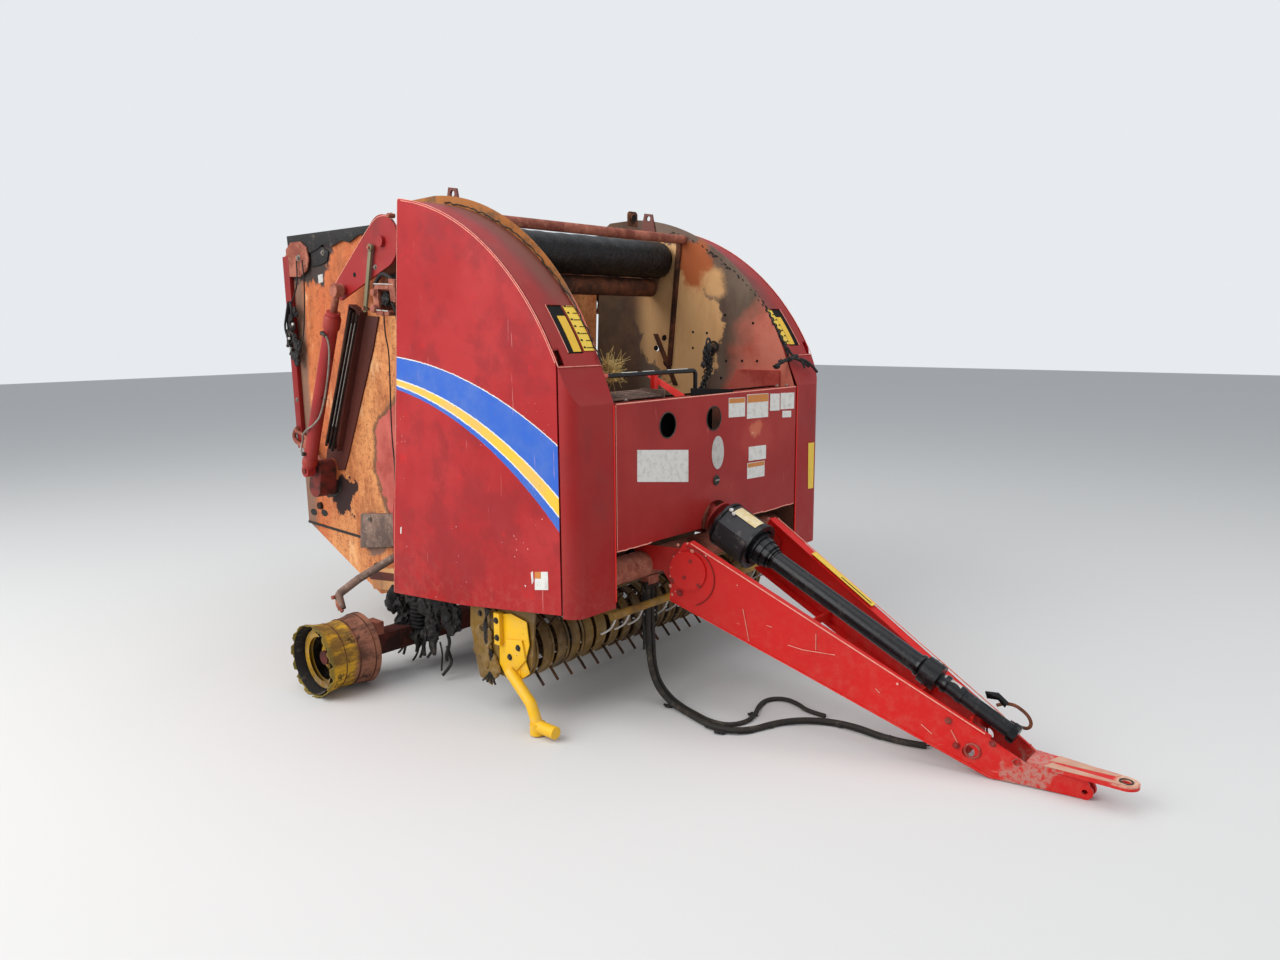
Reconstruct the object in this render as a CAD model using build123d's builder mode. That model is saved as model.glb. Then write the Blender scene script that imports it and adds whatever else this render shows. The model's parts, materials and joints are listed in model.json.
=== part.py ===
"""Towed round baler, as it stands in a yard: side shields, tailgate, take-up frame, pickup, tongue and driveline.

Millimetres. +X points to the hitch, +Y to the machine's left, +Z up. The ground is z = 0 and the origin
lies under the middle of the machine's bounding box. The machine has lost its tyres, belts, jack and front
yoke: it rests on its two bare rims and on the tip of its tongue. Most pieces are drawn in side planes
whose local x runs forward from the front panel and whose local y is the height.
"""
from build123d import *
from math import atan2, cos, degrees, dist, hypot, radians, sin, tan
import os

os.makedirs("parts", exist_ok=True)

# reach of the machine from its front panel
REAR_REACH = 2238
TONGUE_REACH = 1662
FRONT_X = (REAR_REACH - TONGUE_REACH) / 2

# body widths and sheets
WALL_Y = 629
WALL_T = 5
SHIELD_Y = 848
SHEET_T = 4
SEAM_GAP = 5
HINGE_FIT = 0.06

# curved fender over the side shields
FENDER_R = 1167
FENDER_FRONT = (-56.4, 1392.1)
FENDER_REAR_ANGLE = 82.1
FENDER_FRONT_ANGLE = 25.7
FENDER_X = FENDER_FRONT[0] - FENDER_R * cos(radians(FENDER_FRONT_ANGLE))
FENDER_Z = FENDER_FRONT[1] - FENDER_R * sin(radians(FENDER_FRONT_ANGLE))
FENDER_NOTCH_X = (-94, -62)
FENDER_NOTCH_Y = 36
COLUMN_TOP_Z = 1263
COLUMN_FOOT_Z = 496
COLUMN_DEPTH = 60
WINDOW_FRONT_ANGLE = 28.5
WINDOW_REAR_ANGLE = 38.7
WINDOW_Y = (-774, -694)

# side shield door
DOOR_FRONT_X = -69
DOOR_FOOT = ((DOOR_FRONT_X, 506), (-634, 436), (-1110, 400))
DOOR_RIM_DEPTH = 24
DOOR_RIM_INSET = 16
DOOR_PIN_X = -80
DOOR_PIN_INSET = 15
DOOR_PIN_R = 5
DOOR_KNUCKLE_R = 9
DOOR_HINGES_Z = (640, 1230)
DOOR_HINGE_H = 60

# front panel
PANEL_FOOT_Z = 711
PANEL_TOP_Z = 1258
PANEL_HALF_W = WALL_Y - WALL_T - SEAM_GAP
PANEL_HOLES = ((-320, 1158), (-20, 1161))
PANEL_HOLE_R = 50
PANEL_NOTCH_R = 104
PANEL_PIN = (-14, 1249)
PANEL_PIN_R = 4
PANEL_HINGES_Y = (-420, 420)

# bent rod of the net frame
NET_ROD = (-62, 1358)
NET_ROD_R = 9
NET_ROD_END_Y = -65

# lifting lugs
LUG_HOLE = (-887, 2078)
LUG_HOLE_R = 14

# main pivot, carrying the tailgate and the take-up frame
PIVOT = (-1240, 1905)
PIVOT_STUB_R = 42
PIVOT_STUB_Y = (608, 712)
TAKEUP_SHAFT_R = 30
LEVER_Y = (720, 732)
LEVER_END = (-1553, 1708)
LEVER_HEAD_R = 112
LEVER_TAIL = ((-1590, 1672, 8), (-1637, 1724, 8))
TAKEUP_ARM_Y = (592, 602)

# rolls inside: name, x, z, radius, body width between the walls
TAKEUP_ROLLS = (("takeup_roll_large", -800, 1864, 86), ("takeup_roll_small", -850, 1732, 45))
FRONT_ROLLS = (("starter_roll", -830, 500, 72), ("floor_roll", -1130, 455, 78))
GATE_ROLLS = (("gate_roll_top", -2080, 1850, 55), ("gate_roll_low", -2050, 640, 55), ("gate_roll_floor", -1560, 400, 60))
ROLL_END_GAP = 16
ROLL_SHAFT_R = 18

# tailgate
GATE_SIDE = ((-1262, 640), (-1302, 900), (-1264, 1800), (-1420, 1968), (-2090, 1968),
             (-2234, 1900), (-2194, 946), (-2184, 541), (-1747, 343), (-1550, 262), (-1310, 330))
GATE_RAILS = ((-2224, 1800), (-2197, 1180), (-2178, 620))
GATE_RAIL = (50, 60)
GATE_SHEET = 6
GATE_SLATS = 7
GATE_SLAT_W = 128
GATE_ARM_Y = (634, 646)
GATE_STRUT = ((-1534, 1611), (-1626, 1649), (-1896, 984), (-1804, 946))
GATE_STRUT_DEPTH = 40

# lift cylinder, from a tailgate bracket up to the take-up lever's end
CYL_FOOT = (-1903, 853)
CYL_Y = 770
CYL_BARREL_R = 32
CYL_BORE_R = 25
CYL_ROD_R = 16
CYL_PIN_R = 13
CYL_EYE_W = 40
CYL_BARREL_LEN = 800

# running gear
AXLE_X = -1227
RIM_R = 156
SPINDLE_R = 30
AXLE_BEAM = 90
AXLE_HALF = 900
RIM_INNER_Y = 950
RIM_OUTER_Y = 1196
RIM_WALL = 7
RIM_DISC_Y = 1060
RIM_WAIST_R = 140
HUB_R = 56
STAY_R = 18
STAY_BEND_R = 24

# tongue
TONGUE_ROOT_Y = 330
TONGUE_SLOPE_Y = 0.202
TONGUE_START = 13
TONGUE_END = 1240
TONGUE_TOP_Z = (748, 141)
TONGUE_FOOT_Z = (462, 4)
TONGUE_WEB = 7
TONGUE_FLANGE = 40
CROSS_TUBE = (-120, 590)
CROSS_TUBE_R = 54
HITCH_START = 1330
HITCH_CHEEK = 10
HITCH_PLATE_Z = (76, 90)
HITCH_HOLE = 1622
HITCH_HOLE_R = 16
HITCH_LOBE = 1508
HITCH_LOBE_R = 26

# driveline
DRIVE_ORIGIN_Z = 745
DRIVE_PITCH = 25.2
DRIVE_TUBE_R = 37
DRIVE_INNER_R = 27
DRIVE_TUBE_END = 1080
DRIVE_END = 1412
BELL_START = 50
BELL_END = 232
BELL_R = 98
NECK_R = 38
GEARBOX_SIZE = 140
GEARBOX_SHAFT = (-130, 800)
SPROCKET_R = 72
CHAIN_Y = (654, 664)

# pickup
PICKUP_PIVOT = (-620, 440)
PICKUP_HALF = 790
REEL = (-420, 285)
REEL_BAND_R = 122
REEL_BAR_R = 92
REEL_TIP_R = 188
REEL_SHAFT_R = 20
REEL_BARS = 4
REEL_TINES = 20
GUARD_PIVOT = (-300, 455)
GUARD_BAR = (-60, 440)
GUARD_BAR_R = 16
GUARD_HALF = 590
GUARD_ARM_Y = 549
GUARD_SHAFT_R = 9
PICKUP_BAR_TOP = (-582, 396)
PICKUP_BAR_LOW = (-605, 190)
PICKUP_BEAM = (-640, 330)
PICKUP_BEAM_R = 18
GAUGE_ROUTE = ((-400, -PICKUP_HALF - 25, 205), (-262, -PICKUP_HALF - 42, 112), (-222, -PICKUP_HALF - 48, 40))
GAUGE_TUBE_R = 22
GAUGE_SOCKET_R = 30
GAUGE_SOCKET_Z = 6

# burnt-off hoses that hang from a clip and lie on the ground: x forward of the front panel, y, z
HOSE_R = 12
HOSE_LOOP_R = 9
HOSE_CLIP_Z = 505
HOSE_LONG = ((-110, -318, HOSE_CLIP_Z), (-110, -318, 385), (-113, -315, 265), (-106, -310, 160), (-80, -305, 75),
             (-15, -306, 24), (60, -320, 12.3), (134, -341, 12.3), (240, -372, 12.3), (330, -362, 12.3),
             (395, -300, 12.3), (425, -200, 12.3), (480, -110, 12.3), (570, -45, 12.3), (680, -20, 12.3),
             (800, -38, 12.3), (900, -26, 12.3), (960, -2, 12.3))
HOSE_LOOP = ((-110, -290, HOSE_CLIP_Z), (-110, -290, 385), (-107, -287, 265), (-110, -280, 160), (-84, -275, 75),
             (-19, -274, 22), (56, -290, 9.3), (132, -311, 9.3), (222, -334, 9.3), (300, -318, 9.3),
             (335, -245, 9.3), (318, -160, 9.3), (282, -85, 9.3), (272, -10, 9.3), (320, 45, 9.3),
             (395, 35, 9.3), (460, -5, 9.3), (540, -2, 9.3))


def side_plane(y):
    """Plane of constant y: local x is forward of the front panel, local y is the height, the normal is -Y."""
    return Plane(origin=(FRONT_X, y, 0), x_dir=(1, 0, 0), z_dir=(0, -1, 0))


def level_plane(z):
    """Horizontal plane whose local x starts at the front panel."""
    return Plane(origin=(FRONT_X, 0, z), x_dir=(1, 0, 0), z_dir=(0, 0, 1))


def drive_plane(s):
    """Plane across the driveline, s millimetres along it from the gearbox face."""
    pitch = radians(DRIVE_PITCH)
    along = (cos(pitch), 0, -sin(pitch))
    return Plane(origin=(FRONT_X + s * along[0], 0, DRIVE_ORIGIN_Z + s * along[2]), x_dir=(0, 1, 0), z_dir=along)


def polygon_face(plane, points):
    """Flat face through the points of a plane."""
    with BuildSketch(plane) as face:
        with BuildLine():
            Polyline(*points, close=True)
        make_face()
    return face.sketch


def disc_face(plane, x, z, radius):
    """Round face at a place of a plane."""
    with BuildSketch(plane) as face:
        with Locations((x, z)):
            Circle(radius)
    return face.sketch


def hull_face(plane, discs):
    """Convex face round several discs, each (x, z, radius)."""
    with BuildSketch(plane) as face:
        for x, z, radius in discs:
            with Locations((x, z)):
                Circle(radius)
        make_hull()
    return face.sketch


def on_fender(radius, angle):
    """Point of the fender's arc at an angle, in side plane coordinates."""
    return (FENDER_X + radius * cos(radians(angle)), FENDER_Z + radius * sin(radians(angle)))


def arc_band_face(plane, radius, thick, start, end):
    """Band between two arcs about the fender's axis."""
    middle = (start + end) / 2
    with BuildSketch(plane) as face:
        with BuildLine():
            outer = ThreePointArc(on_fender(radius, start), on_fender(radius, middle), on_fender(radius, end))
            inner = ThreePointArc(on_fender(radius - thick, start), on_fender(radius - thick, middle),
                                  on_fender(radius - thick, end))
            Line(outer @ 0, inner @ 0)
            Line(outer @ 1, inner @ 1)
        make_face()
    return face.sketch


def save(part, name):
    """Label a finished piece and write it."""
    part.label = name
    export_step(part, f"parts/{name}.step")


def cord_tube(route, radius):
    """Tube along straight runs joined by tangent arcs, each as large as its two runs allow."""
    bends = []
    for before, corner, after in zip(route, route[1:], route[2:]):
        turn = (Vector(*corner) - Vector(*before)).get_angle(Vector(*after) - Vector(*corner))
        bends.append(0.45 * min(dist(before, corner), dist(corner, after)) / tan(radians(turn) / 2))
    print("cord radii", [round(bend) for bend in bends], "length", round(sum(map(dist, route, route[1:]))))
    with BuildPart() as tube:
        with BuildLine() as path:
            FilletPolyline(*[(FRONT_X + x, y, z) for x, y, z in route], radius=bends)
        with BuildSketch(Plane(origin=path.line @ 0, z_dir=path.line % 0)):
            Circle(radius)
        sweep(path=path.line)
    return tube.part


def save_pair(part, name):
    """Write the right-hand piece and its mirror image as two nodes."""
    save(part, f"{name}_right")
    save(mirror(part, about=Plane.XZ), f"{name}_left")


def save_both(part, name):
    """Write the right-hand piece and its mirror image as one node."""
    with BuildPart() as both:
        add(part)
        mirror(about=Plane.XZ)
    save(both.part, name)


# chamber wall, right: front half of the bale chamber, with the bearing stub of the main pivot
WALL_TOP = ((-8, 1240), (-64, 1392), (-470, 1905), (-1000, 2080))
WALL_EAR = [(PIVOT[0] + x, PIVOT[1] + z) for x, z in ((-10, 115), (-65, 40), (-78, -5), (-50, -60))]
with BuildPart() as wall:
    with BuildSketch(side_plane(-WALL_Y + WALL_T)):
        with BuildLine():
            Polyline((-1240, 640), (-1140, 380), (-640, 380), (-560, 560), (-8, 560), WALL_TOP[0], WALL_TOP[1])
            ThreePointArc(WALL_TOP[1], WALL_TOP[2], WALL_TOP[3])
            Polyline(WALL_TOP[3], (-1160, 2076), *WALL_EAR, (-1244, 1800), (-1290, 900), (-1240, 640))
        make_face()
    extrude(amount=WALL_T)
    with BuildSketch(side_plane(-PIVOT_STUB_Y[0])):
        with Locations(PIVOT):
            Circle(PIVOT_STUB_R)
    extrude(amount=PIVOT_STUB_Y[1] - PIVOT_STUB_Y[0])
    with BuildSketch(side_plane(-PIVOT_STUB_Y[0])):
        with Locations(PIVOT):
            Circle(TAKEUP_SHAFT_R + HINGE_FIT)
    extrude(amount=PIVOT_STUB_Y[1] - PIVOT_STUB_Y[0], mode=Mode.SUBTRACT)
    for name, x, z, radius in FRONT_ROLLS:
        with BuildSketch(side_plane(-WALL_Y + WALL_T)):
            with Locations((x, z)):
                Circle(ROLL_SHAFT_R + HINGE_FIT)
        extrude(amount=WALL_T, mode=Mode.SUBTRACT)
    # idle bearing holes in the sheet
    with BuildSketch(side_plane(-WALL_Y + WALL_T)):
        with Locations((-789, 1481), (-840, 1425), (-763, 1357)):
            Circle(14)
    extrude(amount=WALL_T, mode=Mode.SUBTRACT)
    # pickup pivot stub, outside the wall
    with BuildSketch(side_plane(-WALL_Y)):
        with Locations(PICKUP_PIVOT):
            Circle(24)
    extrude(amount=PICKUP_HALF + 4 - WALL_Y)
save_pair(wall.part, "chamber_wall")

# lifting lugs on the walls' top edges
with BuildPart() as lug:
    extrude(polygon_face(side_plane(-WALL_Y + WALL_T + 10), ((-940, 2000), (-840, 2000), (-862, 2098), (-912, 2106))),
            amount=10)
    extrude(disc_face(side_plane(-WALL_Y + WALL_T + 10), *LUG_HOLE, LUG_HOLE_R), amount=10, mode=Mode.SUBTRACT)
save_both(lug.part, "lifting_lugs")

# main frame: cross tubes between the walls, the panel's hinge beam and the tongue's bolting plates
with BuildPart() as main_frame:
    extrude(disc_face(side_plane(WALL_Y - WALL_T), *CROSS_TUBE, CROSS_TUBE_R), amount=2 * (WALL_Y - WALL_T))
    extrude(disc_face(side_plane(WALL_Y - WALL_T), *CROSS_TUBE, CROSS_TUBE_R - 6),
            amount=2 * (WALL_Y - WALL_T), mode=Mode.SUBTRACT)
    extrude(disc_face(side_plane(WALL_Y - WALL_T), -665, 1960, 22), amount=2 * (WALL_Y - WALL_T))
    # clip under the front tube for the two hoses
    with BuildSketch(level_plane(HOSE_CLIP_Z)):
        with Locations((HOSE_LONG[0][0], (HOSE_LONG[0][1] + HOSE_LOOP[0][1]) / 2)):
            Rectangle(40, 4 * HOSE_R + 16)
    extrude(amount=CROSS_TUBE[1] - CROSS_TUBE_R + 4 - HOSE_CLIP_Z)
save(main_frame.part, "cross_tubes")

with BuildPart() as panel_beam:
    extrude(polygon_face(side_plane(WALL_Y - WALL_T), ((-84, 1212), (-40, 1212), (-40, 1256), (-84, 1256))),
            amount=2 * (WALL_Y - WALL_T))
    for y in PANEL_HINGES_Y:
        extrude(hull_face(side_plane(y + 4), ((PANEL_PIN[0], PANEL_PIN[1], 7), (-46, PANEL_PIN[1], 7))), amount=8)
        extrude(disc_face(side_plane(y + 34), *PANEL_PIN, PANEL_PIN_R), amount=68)
save(panel_beam.part, "panel_beam")

# fender: corner column and curved strip, one bent sheet each side, with the size window in the strip
with BuildPart() as corner_outer:
    with BuildSketch(level_plane(COLUMN_FOOT_Z)):
        with BuildLine():
            Polyline((-COLUMN_DEPTH, -WALL_Y), (0, -WALL_Y), (0, -SHIELD_Y + COLUMN_DEPTH))
            RadiusArc((0, -SHIELD_Y + COLUMN_DEPTH), (-COLUMN_DEPTH, -SHIELD_Y), COLUMN_DEPTH)
            Line((-COLUMN_DEPTH, -SHIELD_Y), (-COLUMN_DEPTH, -WALL_Y))
        make_face()
    extrude(amount=1000)
    extrude(polygon_face(side_plane(-WALL_Y), ((0, COLUMN_TOP_Z), (60, COLUMN_TOP_Z), (60, 1600), (-62, 1600),
                                               (-62, 1404))), amount=SHIELD_Y - WALL_Y, mode=Mode.SUBTRACT)
with BuildPart() as corner_inner:
    with BuildSketch(level_plane(COLUMN_FOOT_Z)):
        with BuildLine():
            Polyline((-COLUMN_DEPTH, -WALL_Y), (-SHEET_T, -WALL_Y), (-SHEET_T, -SHIELD_Y + COLUMN_DEPTH))
            RadiusArc((-SHEET_T, -SHIELD_Y + COLUMN_DEPTH), (-COLUMN_DEPTH, -SHIELD_Y + SHEET_T),
                      COLUMN_DEPTH - SHEET_T)
            Line((-COLUMN_DEPTH, -SHIELD_Y + SHEET_T), (-COLUMN_DEPTH, -WALL_Y))
        make_face()
    extrude(amount=1000)
    extrude(polygon_face(side_plane(-WALL_Y), ((0, COLUMN_TOP_Z - 8), (60, COLUMN_TOP_Z - 8), (60, 1600),
                                               (-62, 1600), (-62, 1396))),
            amount=SHIELD_Y - WALL_Y, mode=Mode.SUBTRACT)
with BuildPart() as fender:
    add(corner_outer.part)
    add(corner_inner.part, mode=Mode.SUBTRACT)
    extrude(arc_band_face(side_plane(-WALL_Y), FENDER_R, SHEET_T, FENDER_FRONT_ANGLE, FENDER_REAR_ANGLE),
            amount=SHIELD_Y - SHEET_T - SEAM_GAP - WALL_Y)
    extrude(arc_band_face(side_plane(WINDOW_Y[1]), FENDER_R + 10, 30, WINDOW_FRONT_ANGLE, WINDOW_REAR_ANGLE),
            amount=WINDOW_Y[1] - WINDOW_Y[0], mode=Mode.SUBTRACT)
    # notch that lets the door's front edge swing in under the strip
    extrude(polygon_face(side_plane(-SHIELD_Y + FENDER_NOTCH_Y),
                         ((FENDER_NOTCH_X[0], FENDER_FRONT[1] - 20), (FENDER_NOTCH_X[1], FENDER_FRONT[1] - 20),
                          (FENDER_NOTCH_X[1], FENDER_FRONT[1] + 120), (FENDER_NOTCH_X[0], FENDER_FRONT[1] + 120))),
            amount=FENDER_NOTCH_Y, mode=Mode.SUBTRACT)
save_pair(fender.part, "fender")

# size gauge: strip seen through the right fender's window
with BuildPart() as gauge:
    extrude(arc_band_face(side_plane(-706), FENDER_R - 22, 4, WINDOW_FRONT_ANGLE - 1, WINDOW_REAR_ANGLE + 1), amount=46)
    extrude(polygon_face(side_plane(-WALL_Y), (on_fender(FENDER_R - 22, 33), on_fender(FENDER_R - 22, 34.5),
                                               on_fender(FENDER_R - 34, 34.5), on_fender(FENDER_R - 34, 33))),
            amount=100)
save(gauge.part, "size_gauge")

# side shield door: flat sheet with a stiffening rim and two knuckles on the door pins
DOOR_TOP_ANGLE = 27.9
DOOR_OUTLINE_Y = -SHIELD_Y + SHEET_T


def door_face(plane, inset):
    """Outline of the side shield, drawn in by an inset."""
    with BuildSketch(plane) as face:
        with BuildLine():
            top_front = on_fender(FENDER_R, DOOR_TOP_ANGLE)
            top_rear = on_fender(FENDER_R, FENDER_REAR_ANGLE)
            ThreePointArc(top_front, on_fender(FENDER_R, (DOOR_TOP_ANGLE + FENDER_REAR_ANGLE) / 2), top_rear)
            Polyline(top_rear, (-1046, 993), (-1091, 748), DOOR_FOOT[2], DOOR_FOOT[1], DOOR_FOOT[0],
                     (DOOR_FRONT_X, 1384), top_front)
        make_face()
        if inset:
            offset(amount=-inset, mode=Mode.REPLACE)
    return face.sketch


with BuildPart() as door:
    extrude(door_face(side_plane(DOOR_OUTLINE_Y), 0), amount=SHEET_T)
    extrude(door_face(side_plane(DOOR_OUTLINE_Y + DOOR_RIM_DEPTH), DOOR_RIM_INSET), amount=DOOR_RIM_DEPTH)
    extrude(door_face(side_plane(DOOR_OUTLINE_Y + DOOR_RIM_DEPTH), DOOR_RIM_INSET + SHEET_T),
            amount=DOOR_RIM_DEPTH, mode=Mode.SUBTRACT)
    for z in DOOR_HINGES_Z:
        pin_y = -SHIELD_Y + DOOR_PIN_INSET
        # the rim is cut away where the fixed bracket reaches the pin
        with BuildSketch(level_plane(z - 18)):
            with BuildLine():
                Polyline((DOOR_PIN_X - 34, DOOR_OUTLINE_Y), (DOOR_FRONT_X - 4, DOOR_OUTLINE_Y),
                         (DOOR_FRONT_X - 4, DOOR_OUTLINE_Y + 40), (DOOR_PIN_X - 34, DOOR_OUTLINE_Y + 40), close=True)
            make_face()
        extrude(amount=18 + DOOR_HINGE_H + 10, mode=Mode.SUBTRACT)
        with BuildSketch(level_plane(z + 0.3)):
            with Locations((DOOR_PIN_X, pin_y)):
                Circle(DOOR_KNUCKLE_R)
            with BuildLine():
                Polyline((DOOR_PIN_X - 60, DOOR_OUTLINE_Y), (DOOR_PIN_X, DOOR_OUTLINE_Y), (DOOR_PIN_X, pin_y),
                         (DOOR_PIN_X - 60, pin_y), close=True)
            make_face()
        extrude(amount=DOOR_HINGE_H)
        with BuildSketch(level_plane(z + 0.3)):
            with Locations((DOOR_PIN_X, pin_y)):
                Circle(DOOR_PIN_R + HINGE_FIT)
        extrude(amount=DOOR_HINGE_H, mode=Mode.SUBTRACT)
save_pair(door.part, "side_shield")

# door brackets: plates from the wall out to the door pins
with BuildPart() as door_bracket:
    for z in DOOR_HINGES_Z:
        with BuildSketch(level_plane(z)):
            with BuildLine():
                Polyline((DOOR_PIN_X - 40, -WALL_Y), (DOOR_PIN_X + 4, -WALL_Y),
                         (DOOR_PIN_X + 4, -SHIELD_Y + DOOR_PIN_INSET - 6),
                         (DOOR_PIN_X - 14, -SHIELD_Y + DOOR_PIN_INSET - 6),
                         (DOOR_PIN_X - 40, -WALL_Y - 90), close=True)
            make_face()
        extrude(amount=-8)
        with BuildSketch(level_plane(z)):
            with Locations((DOOR_PIN_X, -SHIELD_Y + DOOR_PIN_INSET)):
                Circle(DOOR_PIN_R)
        extrude(amount=DOOR_HINGE_H + 4)
save_both(door_bracket.part, "shield_hinges")

# front panel: hangs from its beam, with two round holes and a notch over the driveline
with BuildPart() as panel:
    with BuildSketch(side_plane(PANEL_HALF_W)):
        with BuildLine():
            Polyline((0, PANEL_FOOT_Z), (0, PANEL_TOP_Z), (-24, PANEL_TOP_Z), (-24, PANEL_TOP_Z - 3),
                     (-3, PANEL_TOP_Z - 3), (-3, PANEL_FOOT_Z), close=True)
        make_face()
    extrude(amount=2 * PANEL_HALF_W)
    with BuildSketch(Plane(origin=(FRONT_X + 5, 0, 0), x_dir=(0, 1, 0), z_dir=(1, 0, 0))):
        for y, z in PANEL_HOLES:
            with Locations((y, z)):
                Circle(PANEL_HOLE_R)
        with Locations((0, PANEL_FOOT_Z)):
            Circle(PANEL_NOTCH_R)
    extrude(amount=-15, mode=Mode.SUBTRACT)
    # cleared round the fixed hinge ears, then given a knuckle beside each of them
    for y in PANEL_HINGES_Y:
        extrude(polygon_face(side_plane(y + 9), ((-30, 1200), (-3, 1200), (-3, 1270), (-30, 1270))),
                amount=18, mode=Mode.SUBTRACT)
        extrude(disc_face(side_plane(y + 32), *PANEL_PIN, 8), amount=22)
        extrude(polygon_face(side_plane(y + 32), ((-14, 1246), (-3, 1246), (-3, PANEL_TOP_Z - 3), (-14, PANEL_TOP_Z - 3))),
                amount=22)
        extrude(disc_face(side_plane(y + 36), *PANEL_PIN, PANEL_PIN_R + HINGE_FIT), amount=72, mode=Mode.SUBTRACT)
save(panel.part, "front_panel")

# net frame behind the panel's top: side plates, a sloping slatted tray and the bent black rod
with BuildPart() as net_frame:
    for y in (-WALL_Y + WALL_T + 14, WALL_Y - WALL_T - 0):
        extrude(polygon_face(side_plane(y), ((-90, 1262), (-90, 1330), (-330, 1330), (-400, 1180), (-330, 1150))),
                amount=14)
    for index in range(5):
        x = -110 - 52 * index
        z = 1262 - 16 * index
        extrude(polygon_face(side_plane(WALL_Y - WALL_T - 14), ((x, z), (x - 36, z - 11), (x - 36, z - 15), (x, z - 4))),
                amount=2 * (WALL_Y - WALL_T - 14))
    with BuildLine() as rod_line:
        FilletPolyline((FRONT_X + NET_ROD[0], -WALL_Y + WALL_T, NET_ROD[1]), (FRONT_X + NET_ROD[0], NET_ROD_END_Y, NET_ROD[1]),
                       (FRONT_X + NET_ROD[0], NET_ROD_END_Y, PANEL_TOP_Z - 2), radius=2 * NET_ROD_R)
    with BuildSketch(Plane(origin=rod_line.line @ 0, z_dir=rod_line.line % 0)):
        Circle(NET_ROD_R)
    sweep(path=rod_line.line)
save(net_frame.part, "net_frame")

# take-up frame: shaft through both walls with inner arms, and the outer levers on its ends
with BuildPart() as takeup:
    extrude(disc_face(side_plane(LEVER_Y[0]), *PIVOT, TAKEUP_SHAFT_R), amount=2 * LEVER_Y[0])
    for y in (TAKEUP_ARM_Y[1], -TAKEUP_ARM_Y[0]):
        discs = [(PIVOT[0], PIVOT[1], 56)] + [(x, z, 34) for name, x, z, radius in TAKEUP_ROLLS]
        extrude(hull_face(side_plane(y), discs), amount=TAKEUP_ARM_Y[1] - TAKEUP_ARM_Y[0])
        for name, x, z, radius in TAKEUP_ROLLS:
            extrude(disc_face(side_plane(y), x, z, ROLL_SHAFT_R + HINGE_FIT),
                    amount=TAKEUP_ARM_Y[1] - TAKEUP_ARM_Y[0], mode=Mode.SUBTRACT)
save(takeup.part, "takeup_arms")

with BuildPart() as lever:
    extrude(hull_face(side_plane(-LEVER_Y[0]), ((*PIVOT, LEVER_HEAD_R), *LEVER_TAIL)),
            amount=LEVER_Y[1] - LEVER_Y[0])
    extrude(disc_face(side_plane(-LEVER_Y[1]), *PIVOT, 24), amount=16)
    extrude(disc_face(side_plane(-LEVER_Y[1]), *LEVER_END, 22), amount=CYL_Y - CYL_EYE_W / 2 - 5 - LEVER_Y[1])
save_both(lever.part, "takeup_levers")


def roll_part(x, z, radius, half, shaft_half, driven=False):
    """Roll with a stepped shaft, lying along Y, with a sprocket on its left end where it is driven."""
    with BuildPart() as roll:
        extrude(disc_face(side_plane(half), x, z, radius), amount=2 * half)
        extrude(disc_face(side_plane(shaft_half), x, z, ROLL_SHAFT_R), amount=2 * shaft_half)
        if driven:
            extrude(disc_face(side_plane(CHAIN_Y[1]), x, z, SPROCKET_R), amount=CHAIN_Y[1] - CHAIN_Y[0])
            extrude(disc_face(side_plane(CHAIN_Y[1] + 4), x, z, ROLL_SHAFT_R), amount=CHAIN_Y[1] + 4 - WALL_Y)
    return roll.part


for name, x, z, radius in TAKEUP_ROLLS:
    save(roll_part(x, z, radius, TAKEUP_ARM_Y[0] - 6, TAKEUP_ARM_Y[1] + 6), name)
for name, x, z, radius in FRONT_ROLLS:
    save(roll_part(x, z, radius, WALL_Y - ROLL_END_GAP, WALL_Y + 16, driven=True), name)
for name, x, z, radius in GATE_ROLLS:
    save(roll_part(x, z, radius, WALL_Y - ROLL_END_GAP, WALL_Y + 16), name)

# tailgate sides, each with its hinge arm round the pivot stub and the cylinder's foot bracket
with BuildPart() as gate_side:
    extrude(polygon_face(side_plane(-WALL_Y + WALL_T), GATE_SIDE), amount=WALL_T)
    extrude(polygon_face(side_plane(-WALL_Y), ((-1290, 1800), (-1300, 1640), (-1380, 1640), (-1420, 1930), (-1400, 1930))),
            amount=GATE_ARM_Y[1] - WALL_Y)
    extrude(hull_face(side_plane(-GATE_ARM_Y[0]), ((*PIVOT, 66), (-1350, 1890, 40), (-1340, 1680, 40))),
            amount=GATE_ARM_Y[1] - GATE_ARM_Y[0])
    extrude(disc_face(side_plane(-GATE_ARM_Y[0]), *PIVOT, PIVOT_STUB_R + HINGE_FIT),
            amount=GATE_ARM_Y[1] - GATE_ARM_Y[0], mode=Mode.SUBTRACT)
    extrude(hull_face(side_plane(-WALL_Y), ((*CYL_FOOT, 46), (CYL_FOOT[0] - 20, CYL_FOOT[1] - 90, 50))),
            amount=CYL_Y - CYL_BARREL_R - 6 - WALL_Y)
    extrude(disc_face(side_plane(-WALL_Y), *CYL_FOOT, 19), amount=CYL_Y - CYL_EYE_W / 2 - 0.3 - WALL_Y)
    extrude(disc_face(side_plane(-WALL_Y), *CYL_FOOT, CYL_PIN_R), amount=CYL_Y + CYL_EYE_W / 2 + 6 - WALL_Y)
    for name, x, z, radius in GATE_ROLLS:
        extrude(disc_face(side_plane(-WALL_Y + WALL_T), x, z, ROLL_SHAFT_R + HINGE_FIT), amount=WALL_T,
                mode=Mode.SUBTRACT)
save_pair(gate_side.part, "tailgate_side")

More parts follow.
